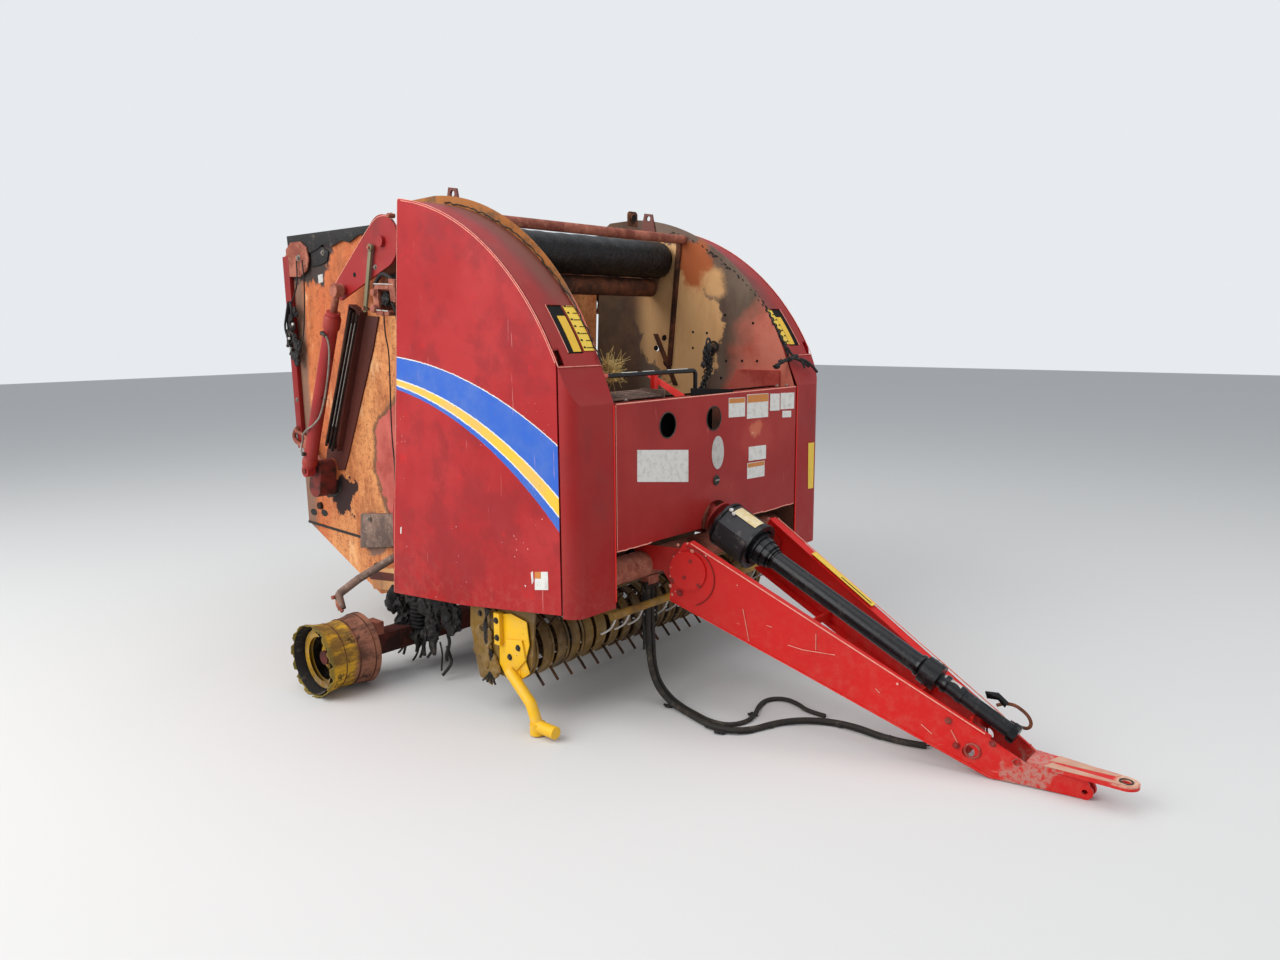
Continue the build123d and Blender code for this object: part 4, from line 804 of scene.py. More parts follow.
class Finishes:
    """The finishes, built on first use and kept by name."""

    def __init__(self) -> None:
        """Start with none built."""
        self.kept: dict[str, bpy.types.Material] = {}

    def get(self, name: str) -> bpy.types.Material:
        """Return a finish.

        Args:
            name: The finish's name.

        Returns:
            The material.
        """
        if name not in self.kept:
            self.kept[name] = RECIPES[name].build(name)
        return self.kept[name]

    def paint(self, nodes: dict[str, Piece]) -> None:
        """Give every CAD node its finish.

        Args:
            nodes: The frame's nodes by name.
        """
        for coat, names in COATS.items():
            for name in names.split():
                nodes[name].data.materials.clear()
                nodes[name].data.materials.append(self.get(coat))


def at(x: float, y: float, z: float) -> Vector:
    """Return the scene's place in metres of a point in millimetres, with y counted to the left."""
    return Vector((FRONT_X + x / 1000, y / 1000, z / 1000))


def towards(axis: Vector) -> Euler:
    """Return the turn that lays a piece's own z along an axis."""
    return axis.to_track_quat("Z", "Y").to_euler()


def stray(place: Vector, scale: float) -> float:
    """Return a smooth noise from about -1 to 1, with its features per metre."""
    return noise.noise(place * scale)


def oval(middle: Point, radii: Point, angles: Iterable[float]) -> list[Point]:
    """Return points of an oval at angles in degrees."""
    turns = [math.radians(angle) for angle in angles]
    return [(middle[0] + radii[0] * math.cos(turn), middle[1] + radii[1] * math.sin(turn)) for turn in turns]


def along(points: Sequence[Point], x: float) -> float:
    """Return the height of a line through points at a place between them.

    Args:
        points: The points, in rising order of x.
        x: The place.

    Returns:
        The height.
    """
    for (x0, z0), (x1, z1) in zip(points, points[1:]):
        if x <= x1:
            break
    return z0 + (z1 - z0) * (x - x0) / (x1 - x0)


@dataclass
class Assembly:
    """A part of the machine: it models pieces with Blender's operators and hands them to the frame's bodies.

    Places, outlines and radii are in millimetres on the side at hand; a place may also be one of the scene.
    """

    finishes: Finishes
    side: Side = Side.WHOLE
    body: str = "frame"
    bolt_head: ClassVar[Piece | None] = None

    def dress(self) -> None:
        """Model the pieces."""
        raise NotImplementedError

    def way(self, x: float, y: float, z: float) -> Vector:
        """Return a direction with y counted outward."""
        return Vector((x, (self.side.value or 1) * y, z))

    def spot(self, place: Spot) -> Vector:
        """Return the scene's place of a point with y counted outward."""
        return place if isinstance(place, Vector) else at(*self.way(*place))

    @staticmethod
    def pick(*pieces: Piece) -> Piece:
        """Select only these pieces.

        Args:
            pieces: The pieces.

        Returns:
            The first one, which is now active.
        """
        bpy.ops.object.select_all(action="DESELECT")
        for piece in pieces:
            piece.select_set(True)
        bpy.context.view_layer.objects.active = pieces[0]
        return pieces[0]

    @staticmethod
    def settle() -> Piece:
        """Write the active piece's place into its mesh and return it."""
        bpy.ops.object.transform_apply(location=True, rotation=True, scale=True)
        return bpy.context.object

    @staticmethod
    def edit(*steps: Callable[[], object]) -> None:
        """Run steps on the whole of the active mesh in edit mode.

        Args:
            steps: The steps, in order.
        """
        bpy.ops.object.mode_set(mode="EDIT")
        bpy.ops.mesh.select_all(action="SELECT")
        for step in steps:
            step()
        bpy.ops.object.mode_set(mode="OBJECT")

    @staticmethod
    def modify(piece: Piece, kind: str, **settings: float | str) -> None:
        """Apply a modifier.

        Args:
            piece: The active piece.
            kind: The modifier's type.
            settings: Its settings.
        """
        modifier = piece.modifiers.new(kind.lower(), kind)
        for name, value in settings.items():
            setattr(modifier, name, value)
        bpy.ops.object.modifier_apply(modifier=modifier.name)

    def rod(self, start: Spot, end: Spot, radius: float, sides: int = 12,
            tip: float | None = None) -> Piece:
        """Return a straight bar or cone.

        Args:
            start: Middle of its first end.
            end: Middle of its last end.
            radius: Its radius.
            sides: Number of sides.
            tip: Radius of its last end, where it differs.

        Returns:
            The piece.
        """
        start, end = self.spot(start), self.spot(end)
        tip = radius if tip is None else tip
        bpy.ops.mesh.primitive_cone_add(vertices=sides, radius1=radius / 1000, radius2=tip / 1000,
                                        depth=(end - start).length, location=(start + end) / 2,
                                        rotation=towards(end - start))
        return self.settle()

    def pins(self, *rows: tuple[float, ...]) -> list[Piece]:
        """Return bars across the machine, given as x, z, inner and outer end, radius, sides and any tip."""
        return [self.rod((x, inner, z), (x, outer, z), *more) for x, z, inner, outer, *more in rows]

    def box(self, low: Place, high: Place) -> Piece:
        """Return a box between two corners.

        Args:
            low: One corner.
            high: The opposite corner.

        Returns:
            The piece.
        """
        low, high = self.spot(low), self.spot(high)
        bpy.ops.mesh.primitive_cube_add(size=1, location=(low + high) / 2)
        bpy.context.object.scale = [abs(value) for value in high - low]
        return self.settle()

    def ring(self, middle: Spot, facing: Vector, radius: float, thick: float, sides: int = 28) -> Piece:
        """Return a round ring.

        Args:
            middle: Its middle.
            facing: Its axis.
            radius: Radius of its centreline.
            thick: Radius of its section.
            sides: Number of segments.

        Returns:
            The piece.
        """
        bpy.ops.mesh.primitive_torus_add(major_radius=radius / 1000, minor_radius=thick / 1000,
                                         major_segments=sides, minor_segments=8, location=self.spot(middle),
                                         rotation=towards(facing))
        return self.settle()

    def plate(self, outline: Sequence[Place], thick: Place) -> Piece:
        """Return a flat plate.

        Args:
            outline: Its corners in order.
            thick: From its first face to its second.

        Returns:
            The piece.
        """
        bpy.ops.mesh.primitive_circle_add(vertices=len(outline), fill_type="NGON")
        piece = bpy.context.object
        for vertex, place in zip(piece.data.vertices, outline):
            vertex.co = self.spot(place)
        move = {"value": self.way(*thick) / 1000}
        self.edit(lambda: bpy.ops.mesh.extrude_region_move(TRANSFORM_OT_translate=move))
        return piece

    def cut(self, inner: float, outer: float, *outlines: Outline) -> list[Piece]:
        """Return plates in side planes, between an inner and an outer distance from the machine's middle."""
        thick = (0, outer - inner, 0)
        return [self.plate([(x, inner, z) for x, z in outline], thick) for outline in outlines]

    def skin(self, surface: Callable[[float, float], Spot], across: int, down: int, thick: float,
             closed: bool = False) -> Piece:
        """Return a sheet that follows a surface.

        Args:
            surface: Place of each pair of shares from 0 to 1.
            across: Cells along the first share.
            down: Cells along the second.
            thick: Its thickness, or 0 for a bare surface.
            closed: Whether the first share runs once round.

        Returns:
            The piece.
        """
        bpy.ops.mesh.primitive_grid_add(x_subdivisions=across, y_subdivisions=down, size=2)
        piece = bpy.context.object
        for vertex in piece.data.vertices:
            vertex.co = self.spot(surface((vertex.co.x + 1) / 2, (vertex.co.y + 1) / 2))
        if closed:
            self.edit(lambda: bpy.ops.mesh.remove_doubles(threshold=0.00002))
        if thick:
            self.modify(piece, "SOLIDIFY", thickness=thick / 1000, offset=0)
        return piece

    def turned(self, profile: Sequence[Point], start: Spot, axis: Vector, sides: int = 40,
               rough: float = 0.0, scale: float = 20.0) -> Piece:
        """Return a turned piece.

        Args:
            profile: Distances along the axis and radii.
            start: Where the axis starts.
            axis: Its direction.
            sides: Number of sides.
            rough: How far its skin strays.
            scale: Lumps per metre.

        Returns:
            The piece.
        """
        turn = axis.to_track_quat("Z", "Y")
        foot = self.spot(start)

        def surface(u: float, v: float) -> Vector:
            """Return the place at an angle and a step of the profile.

            Args:
                u: Share of a turn.
                v: Share of the profile's points.

            Returns:
                The place.
            """
            step, radius = profile[round(v * (len(profile) - 1))]
            away = Vector((math.cos(2 * math.pi * u), math.sin(2 * math.pi * u), 0))
            place = foot + turn @ (away * radius + Vector((0, 0, step))) / 1000
            return place + turn @ away * stray(place, scale) * rough / 1000 if rough else place
        return self.skin(surface, sides, len(profile) - 1, 0, closed=True)

    def tube(self, places: Iterable[Spot], radius: float, sides: int = 2, smooth: bool = True) -> Piece:
        """Return a bent tube or wire.

        Args:
            places: The places that it follows.
            radius: Its radius.
            sides: Fineness of its section.
            smooth: Whether its bends are round.

        Returns:
            The piece.
        """
        bpy.ops.curve.primitive_nurbs_path_add()
        curve = bpy.context.object.data
        curve.splines.clear()
        route(curve, [self.spot(place) for place in places], smooth)
        curve.bevel_depth = radius / 1000
        curve.bevel_resolution = sides
        curve.resolution_u = 8
        curve.use_fill_caps = True
        bpy.ops.object.convert(target="MESH")
        return bpy.context.object

    def wire(self, y: float, radius: float, *points: Point, sides: int = 2, smooth: bool = True) -> Piece:
        """Return a tube in a side plane."""
        return self.tube([(x, y, z) for x, z in points], radius, sides, smooth)

    def bolt(self, place: Place, facing: Vector, size: float) -> Piece:
        """Return a hexagon head on a washer, modelled once and copied.

        Args:
            place: Middle of the washer's foot.
            facing: Where the head points.
            size: Radius of the head.

        Returns:
            The piece.
        """
        if Assembly.bolt_head is None:
            steps = ((0, 0.002, 15, 20), (0.002, 0.0085, 10, 6), (0.0085, 0.0105, 5, 10))
            self.pick(*(self.rod(Vector((0, 0, low)), Vector((0, 0, high)), radius, sides)
                        for low, high, radius, sides in steps))
            bpy.ops.object.join()
            Assembly.bolt_head = bpy.context.object
            self.modify(Assembly.bolt_head, "BEVEL", width=0.0007, segments=1)
        self.pick(Assembly.bolt_head)
        bpy.ops.object.duplicate()
        piece = bpy.context.object
        piece.location, piece.rotation_euler, piece.scale = self.spot(place), towards(facing), [size / 10] * 3
        return self.settle()

    def bolts(self, *rows: tuple[float, float, float, float]) -> list[Piece]:
        """Return bolts that face outward, given as place and size."""
        return [self.bolt((x, y, z), self.way(0, 1, 0), size) for x, y, z, size in rows]

    def chain(self, places: Sequence[Spot], size: float) -> list[Piece]:
        """Return a run of links.

        Args:
            places: Where the links meet.
            size: Radius of a link.

        Returns:
            The links.
        """
        links = []
        spots = [self.spot(place) for place in places]
        for index, (place, after) in enumerate(zip(spots, spots[1:])):
            run = (after - place).normalized()
            cross = run.cross(Vector((1, 0.3, 0.2))).normalized()
            facing = cross if index % 2 else run.cross(cross)
            links.append(self.ring((place + after) / 2, facing, size, size * 0.3, 14))
        return links

    def lump(self, middle: Spot, size: Place, rough: float, scale: float = 30.0) -> Piece:
        """Return an uneven lump.

        Args:
            middle: Its middle.
            size: Its half sizes.
            rough: Share by which its skin strays.
            scale: Lumps per metre.

        Returns:
            The piece.
        """
        bpy.ops.mesh.primitive_ico_sphere_add(subdivisions=4, radius=1)
        piece = bpy.context.object
        middle, size = self.spot(middle), Vector(size) / 1000
        for vertex in piece.data.vertices:
            out = vertex.co * size
            place = middle + out
            vertex.co = middle + out * (1 + rough * (stray(place, scale) + 0.5 * stray(place, 2.7 * scale)))
        return piece

    def lumps(self, rough: float, scale: float, *rows: tuple[float, ...]) -> list[Piece]:
        """Return uneven lumps, each given as its place and its half sizes."""
        return [self.lump(row[:3], row[3:], rough, scale) for row in rows]

    def finish(self, name: str, finish: str, slot: str, *pieces: Piece, edge: float = 0.0,
               smooth: float = 35.0) -> Piece:
        """Join pieces of one finish and hand them to the body at hand.

        Args:
            name: Name of the joined piece, without its side.
            finish: Name of its finish.
            slot: The record's material slot; not used.
            pieces: The pieces.
            edge: Width of its rounded edges.
            smooth: Angle in degrees below which its faces are shaded as one.

        Returns:
            The joined piece.
        """
        piece = self.pick(*pieces)
        if len(pieces) > 1:
            bpy.ops.object.join()
        piece.name = piece.data.name = self.side.called(name)
        self.edit(bpy.ops.mesh.normals_make_consistent)
        if edge:
            self.modify(piece, "BEVEL", width=edge / 1000, segments=2, limit_method="ANGLE")
        bpy.ops.object.shade_smooth_by_angle(angle=math.radians(smooth))
        piece.data.materials.clear()
        piece.data.materials.append(self.finishes.get(finish))
        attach(piece, self.body)
        LOG.info("%s: %d faces", piece.name, len(piece.data.polygons))
        return piece


def route(curve: bpy.types.Curve, spots: Sequence[Vector], smooth: bool = True) -> None:
    """Lay a curve's line through places of the scene.

    Args:
        curve: The curve.
        spots: The places.
        smooth: Whether its bends are round.
    """
    line = curve.splines.new("NURBS" if smooth else "POLY")
    line.points.add(len(spots) - 1)
    for point, spot in zip(line.points, spots):
        point.co = (*spot, 1)
    if smooth:
        line.order_u = 3
        line.use_endpoint_u = True


@dataclass
class Hoses(Assembly):
    """The two burnt-off hoses: they hang from their clip and lie on the ground."""

    routes: ClassVar[dict[str, tuple[float, float, tuple[Place, ...]]]] = {
        "hose_long": (24, 1.68, (
            (-110, -318, 505), (-110, -318, 385), (-113, -315, 265), (-106, -310, 160), (-80, -305, 75),
            (-15, -306, 24), (60, -320, 12.3), (134, -341, 12.3), (240, -372, 12.3), (330, -362, 12.3),
            (395, -300, 12.3), (425, -200, 12.3), (480, -110, 12.3), (570, -45, 12.3), (680, -20, 12.3),
            (800, -38, 12.3), (900, -26, 12.3), (960, -2, 12.3))),
        "hose_loop": (18, 1.48, (
            (-110, -290, 505), (-110, -290, 385), (-107, -287, 265), (-110, -280, 160), (-84, -275, 75),
            (-19, -274, 22), (56, -290, 9.3), (132, -311, 9.3), (222, -334, 9.3), (300, -318, 9.3),
            (335, -245, 9.3), (318, -160, 9.3), (282, -85, 9.3), (272, -10, 9.3), (320, 45, 9.3),
            (395, 35, 9.3), (460, -5, 9.3), (540, -2, 9.3))),
    }

    def dress(self) -> None:
        for name, (diameter, length, places) in self.routes.items():
            curve = bpy.data.curves.new(name + "_dressed", "CURVE")
            curve.dimensions = "3D"
            route(curve, [at(*place) for place in places])
            curve.bevel_depth = diameter / 2000
            curve.bevel_resolution = 6
            curve.resolution_u = 16
            curve.use_fill_caps = True
            curve.materials.append(self.finishes.get("hose"))
            piece = bpy.data.objects.new(name + "_dressed", curve)
            bpy.context.scene.collection.objects.link(piece)
            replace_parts(piece, name)
            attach(piece, "frame")
            at(*places[0])
            LOG.info("%s: %.2f m", piece.name, length)


@dataclass
class Strands(Assembly):
    """Burnt strands that lie loose along the hoses."""

    runs: tuple[tuple[str, int, int], ...] = (
        ("hose_long", 5, 11), ("hose_long", 8, 16), ("hose_long", 13, 18), ("hose_loop", 5, 10),
        ("hose_loop", 11, 17))
    crumbs: Outline = ((300, -384), (420, -214), (620, -38), (820, -22), (310, -170), (-4, -318))

    def dress(self) -> None:
        """Model the strands and the crumbs beside them."""
        chance = random.Random(17)
        strands = []
        for name, first, last in self.runs:
            shift = chance.choice((-17, 17))
            line = [(x + chance.uniform(-9, 9), y + shift + chance.uniform(-8, 8),
                     max(3.2, min(z, 26) - 8 + chance.uniform(-3, 10)))
                    for x, y, z in Hoses.routes[name][2][first:last]]
            strands.append(self.tube(line, chance.uniform(2.2, 3.0)))
        crumbs = self.lumps(0.7, 60, *((x, y, 8, 22, 14, 7) for x, y in self.crumbs))
        self.finish("hose_strands", "char_dull", "burnt_rubber", *strands, *crumbs)


@dataclass
class Studio:
    """Plain pale floor, soft light and the photograph's camera, with places in metres."""

    floor_size: float = 60
    floor_tone: tuple[float, ...] = (0.62, 0.61, 0.59, 1)
    sky_light: tuple[float, ...] = (0.86, 0.92, 1.0, 1)
    sky_power: float = 0.62
    sky_seen: tuple[float, ...] = (0.80, 0.83, 0.86, 1)
    lamps: tuple[tuple[str, Place, float, float], ...] = (
        ("key", (-2.5, -6.5, 5.0), 7.0, 620), ("front", (6.5, 2.0, 4.0), 6.0, 130),
        ("top", (0, 0, 7.0), 6.0, 160))
    aim: Place = (0, 0, 0.8)
    place: Place = (2.545, -3.091, 1.532)
    yaw: float = math.radians(40.92)
    pitch: float = math.radians(9.36)
    roll: float = math.radians(-0.43)
    lens: float = 26.0
    sensor: float = 36.0

    def build(self) -> None:
        """Set the floor, the lights, the sky and the camera."""
        bpy.ops.mesh.primitive_plane_add(size=self.floor_size, location=(0, 0, 0))
        floor = bpy.context.object
        floor.name = "floor"
        sheet = Sheet("floor")
        sheet.close((0, 0, 0), 0.9)
        sheet.shader.inputs["Base Color"].default_value = self.floor_tone
        floor.data.materials.append(sheet.material)
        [self.lamp(*lamp) for lamp in self.lamps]
        bpy.context.scene.world = self.sky()
        bpy.context.scene.view_settings.view_transform = "Standard"
        bpy.context.scene.camera = self.camera()

    def sky(self) -> bpy.types.World:
        """Return a sky that lights in one tone and is seen in another.

        Returns:
            The world.
        """
        world = bpy.data.worlds.new("sky")
        world.use_nodes = True
        tree = world.node_tree
        light, seen = tree.nodes["Background"], tree.nodes.new("ShaderNodeBackground")
        light.inputs[0].default_value, light.inputs[1].default_value = self.sky_light, self.sky_power
        seen.inputs[0].default_value = self.sky_seen
        ray = tree.nodes.new("ShaderNodeLightPath")
        pick = tree.nodes.new("ShaderNodeMixShader")
        links = ((ray.outputs["Is Camera Ray"], pick.inputs[0]), (light.outputs[0], pick.inputs[1]),
                 (seen.outputs[0], pick.inputs[2]),
                 (pick.outputs[0], tree.nodes["World Output"].inputs["Surface"]))
        for output, target in links:
            tree.links.new(output, target)
        return world

    def lamp(self, name: str, place: Place, size: float, power: float) -> Piece:
        """Return a soft lamp that faces the machine.

        Args:
            name: Its name.
            place: Its place in metres.
            size: Its width in metres.
            power: Its power in watts.

        Returns:
            The lamp.
        """
        bpy.ops.object.light_add(type="AREA", location=place)
        lamp = bpy.context.object
        lamp.name = name
        lamp.data.size, lamp.data.energy = size, power
        lamp.rotation_euler = (Vector(self.aim) - Vector(place)).to_track_quat("-Z", "Y").to_euler()
        return lamp

    def camera(self) -> Piece:
        """Return the camera at the photograph's viewing angle.

        Returns:
            The camera.
        """
        data = bpy.data.cameras.new("photo")
        data.sensor_width, data.lens = self.sensor, self.lens
        camera = bpy.data.objects.new("photo", data)
        bpy.context.scene.collection.objects.link(camera)
        level = math.cos(self.pitch)
        ahead = Vector((-math.sin(self.yaw) * level, math.cos(self.yaw) * level, -math.sin(self.pitch)))
        camera.location = self.place
        camera.rotation_euler = ahead.to_track_quat("-Z", "Y").to_euler()
        camera.rotation_euler.rotate_axis("Z", self.roll)
        return camera


@dataclass
class SideShields(Assembly):
    """Painted highlights along the edges, blank labels and scuffs of the side shields."""

    face: float = 848.2
    middle: Point = (-1108, 886)
    radius: float = 1162
    label: Outline = ((-205, 578), (-133, 591), (-133, 659), (-203, 647))
    label_head: Outline = ((-203, 622), (-170, 627), (-170, 653), (-203, 647))
    scraps: tuple[Outline, ...] = (((-225, 640), (-214, 648), (-211, 610), (-221, 596)),
                                   ((-1040, 700), (-1030, 704), (-1034, 674), (-1042, 672)),
                                   ((-262, 585), (-254, 588), (-256, 579)))

    def dress(self) -> None:
        """Model the pieces of both shields, and the scraps of a sticker on the right one."""
        for self.side in BOTH:
            self.body = self.side.called("shield")
            # The light lines along the shield's crown and rear edge are painted highlights.
            crown = self.wire(self.face, 1.7, *oval(self.middle, (self.radius,) * 2, range(27, 82, 3)))
            rear = self.wire(self.face, 1.3, *((-949 - 161 * share, 2036 - 1632 * share)
                                               for share in (0, 0.3, 0.7, 1)))
            self.finish("shield_edge", "worn_edge", "red_paint", crown, rear)
            self.finish("shield_label", "film_white", "red_paint", *self.cut(847, 849.2, self.label))
            head = self.cut(848, 849.8, self.label_head)
            self.finish("shield_label_head", "film_orange", "red_paint", *head)
        self.side, self.body = Side.WHOLE, "shield_right"
        self.finish("shield_scraps", "film_white", "red_paint", *self.cut(-847.5, -848.8, *self.scraps))


@dataclass
class Fenders(Assembly):
    """Burnt seals, the bale scale's sticker and the rear view strip of the fenders."""

    middle: Point = (-1107.9, 886.0)
    radius: float = 1168.5
    seal_start: float = 26
    seal_step: float = 0.8
    seal_links: int = 70
    scale_low: float = 28.9
    scale_span: float = 9.5
    tick_step: float = 1.45
    column: tuple[Point, ...] = ((736, 984), (790, 982), (790, 760), (742, 762))

    def place(self, angle: float, y: float, lift: float = 0.0) -> Place:
        """Return a place on a fender's curved strip.

        Args:
            angle: Angle about the strip's axis in degrees, from level.
            y: Distance outward from the machine's middle.
            lift: Height above the strip.

        Returns:
            The place.
        """
        (x, z), = oval(self.middle, (self.radius + lift,) * 2, (angle,))
        return x, y, z

    def strip(self, low: float, span: float, inner: float, width: float, lift: float,
              cells: int = 10) -> Piece:
        """Return a thin sheet on the strip.

        Args:
            low: Angle where it starts.
            span: Angle that it covers.
            inner: Its inner edge.
            width: Its width.
            lift: Its height above the strip.
            cells: Cells along the angle.

        Returns:
            The sheet.
        """
        return self.skin(lambda u, v: self.place(low + span * u, inner + width * v, lift), cells, 1, 1.0)

    def ticks(self) -> list[Piece]:
        """Return the scale's marks, long and short by turns, with a blank bar for a numeral beside each.

        Returns:
            The marks and bars.
        """
        marks = []
        for step in range(7):
            angle = self.scale_low + 0.5 + step * self.tick_step
            for first, last, wide in ((636, 660 if step % 2 else 672, 0.12), (676, 686, 0.32)):
                corners = ((angle, first), (angle + wide, first), (angle + wide, last), (angle, last))
                marks.append(self.plate([self.place(*corner, 1.9) for corner in corners], (0.8, 0, 0.8)))
        return marks

    def dress(self) -> None:
        """Model the pieces of both fenders."""
        chance = random.Random(5)
        for self.side in BOTH:
            left = self.side is Side.LEFT
            seal = [self.place(self.seal_start + step * self.seal_step, 632 + chance.uniform(-5, 5),
                               5 + chance.uniform(-4, 5)) for step in range(self.seal_links)]
            cord = self.tube(seal, 5.5 if left else 2.6)
            links = self.chain(seal if left else seal[:9:4], 10 if left else 5)
            self.finish("fender_seal", "char_dull", "burnt_rubber", cord, *links)
            sticker = self.strip(self.scale_low, self.scale_span, 636, 54, 1.0, 12)
            self.finish("scale_sticker", "film_scale", "yellow_paint", sticker)
            self.finish("scale_ticks", "dark_hole", "black_plastic", *self.ticks())
            self.finish("scale_well", "dark_hole", "black_plastic", self.strip(28.7, 9.8, 695, 78, -5))
            self.finish("scale_hand", "yellow_flat", "yellow_paint", self.strip(28.9, 7.4, 701, 40, -3.4))
            # Light lines on the seam, round the scale and along the outer edge; the one along the outer edge,
            # next to the shield, is a painted highlight.
            seam = self.tube([self.place(26.0, y, 0.6) for y in (632, 700, 800, 846)], 1.6)
            rim = self.tube([self.place(angle, 773, 0.6) for angle in (28.6, 33, 38.6)], 1.6)
            near = self.tube([self.place(angle, 847, 0.4) for angle in range(26, 84, 4)], 1.4)
            self.finish("fender_edges", "worn_edge", "red_paint", seam, rim, near)
        self.side = Side.WHOLE
        strip = self.plate([(1, y, z) for y, z in self.column], (1, 0, 0))
        self.finish("column_strip", "film_scale", "yellow_paint", strip)


@dataclass
class FrontPanel(Assembly):
    """Blank plate and labels, latch, worn edges, painted highlights down the columns and the things behind
    the front panel's top, among them a black plate of painted shade behind the holes.
    """

    labels: tuple[tuple[float, ...], ...] = (
        (84, 204, 1238, 1152, 0.3), (219, 385, 1245, 1136, 0.36), (400, 478, 1238, 1158, 0),
        (486, 602, 1236, 1158, 0), (503, 578, 1154, 1120, 0), (236, 372, 1016, 950, 0),
        (226, 362, 946, 872, 0.32))
    blank: Outline = ((-504, 959), (-192, 918), (-192, 1048), (-503, 1080))
    flap: Outline = ((-134, 1254), (-134, 1290), (158, 1270), (158, 1254))
    latch: Point = (-2, 901)

    def front(self, x: float, thick: float, *corners: Point) -> Piece:
        """Return a plate that faces forward, with its corners as y and z."""
        return self.plate([(x, y, z) for y, z in corners], (thick, 0, 0))

    def dress(self) -> None:
        """Model what rides on the panel, and then what stays on the frame."""
        self.body = "panel"
        white, orange = [], []
        chance = random.Random(3)
        ahead = Vector((1, 0, 0))
        for left, right, top, foot, head in self.labels:
            white.append(self.front(0, 1.2, (left, top), (right, top - 4), (right, foot), (left, foot + 4)))
            if head:
                split = top - (top - foot) * head
                orange.append(self.front(0.6, 1.2, (left + 3, top - 3), (right - 3, top - 6),
                                         (right - 3, split), (left + 3, split + 3)))
        self.finish("panel_labels", "film_white", "red_paint", *white, self.front(0, 1.6, *self.blank))
        self.finish("panel_label_heads", "film_orange", "red_paint", *orange)
        badge = self.front(0, 2, *oval((8, 1016), (42, 70), range(0, 360, 15)))
        self.finish("panel_badge", "film_grey", "red_paint", badge)
        holes = [self.ring((0, y, z), ahead, 50, 2.6, 36) for y, z in ((-320, 1158), (-20, 1161))]
        seat = self.ring((2, *self.latch), ahead, 19, 3, 24)
        self.finish("panel_rims", "metal_dark", "bright_steel", *holes, seat)
        self.finish("panel_latch", "gloss_black", "black_plastic",
                    self.rod((0, *self.latch), (5, *self.latch), 18, 24))
        self.finish("panel_latch_bar", "metal", "bright_steel", self.box((4, -17, 898), (7.5, 13, 905)))
        edges = [self.tube([(-0.5, -617, 1258), (-0.5, 0, 1258.5), (-0.5, 617, 1258)], 2.4),
                 self.tube([(-0.5, -618, 1256), (-0.5, -618, 1000), (-0.5, -618, 714)], 1.5)]
        for first, last in ((-616, -410), (150, 612)):
            edges.append(self.tube([(-0.5, y + chance.uniform(-9, 9), 711 + chance.uniform(-4, 1))
                                    for y in range(first, last, 24)], 2.4))
        self.finish("panel_edges", "worn_edge", "red_paint", *edges)
        self.body = "frame"
        self.finish("slot_flap", "dark_hole", "burnt_steel", self.front(-28, -5, *self.flap))
        # A black plate just behind the panel's two holes is painted shade, so that the holes look dark
        # inside.
        self.finish("hole_backing", "dark_hole", "burnt_steel", self.box((-72, -400, 1090), (-68, 60, 1226)))
        # Bright red lines down the columns' rounded edges are painted highlights.
        columns = [self.tube([(0.5, y, z) for z in (1256, 900, 520)], 3.2) for y in (-629.5, 629.5)]
        self.finish("column_edges", "red_bright", "red_paint", *columns)
        for self.side in BOTH:
            bolts = [self.bolt((-40, y, 1262), Vector((-0.25, 0, 1)), 8) for y in (600, 520)]
            self.finish("beam_bolts", "metal", "bright_steel", *bolts)


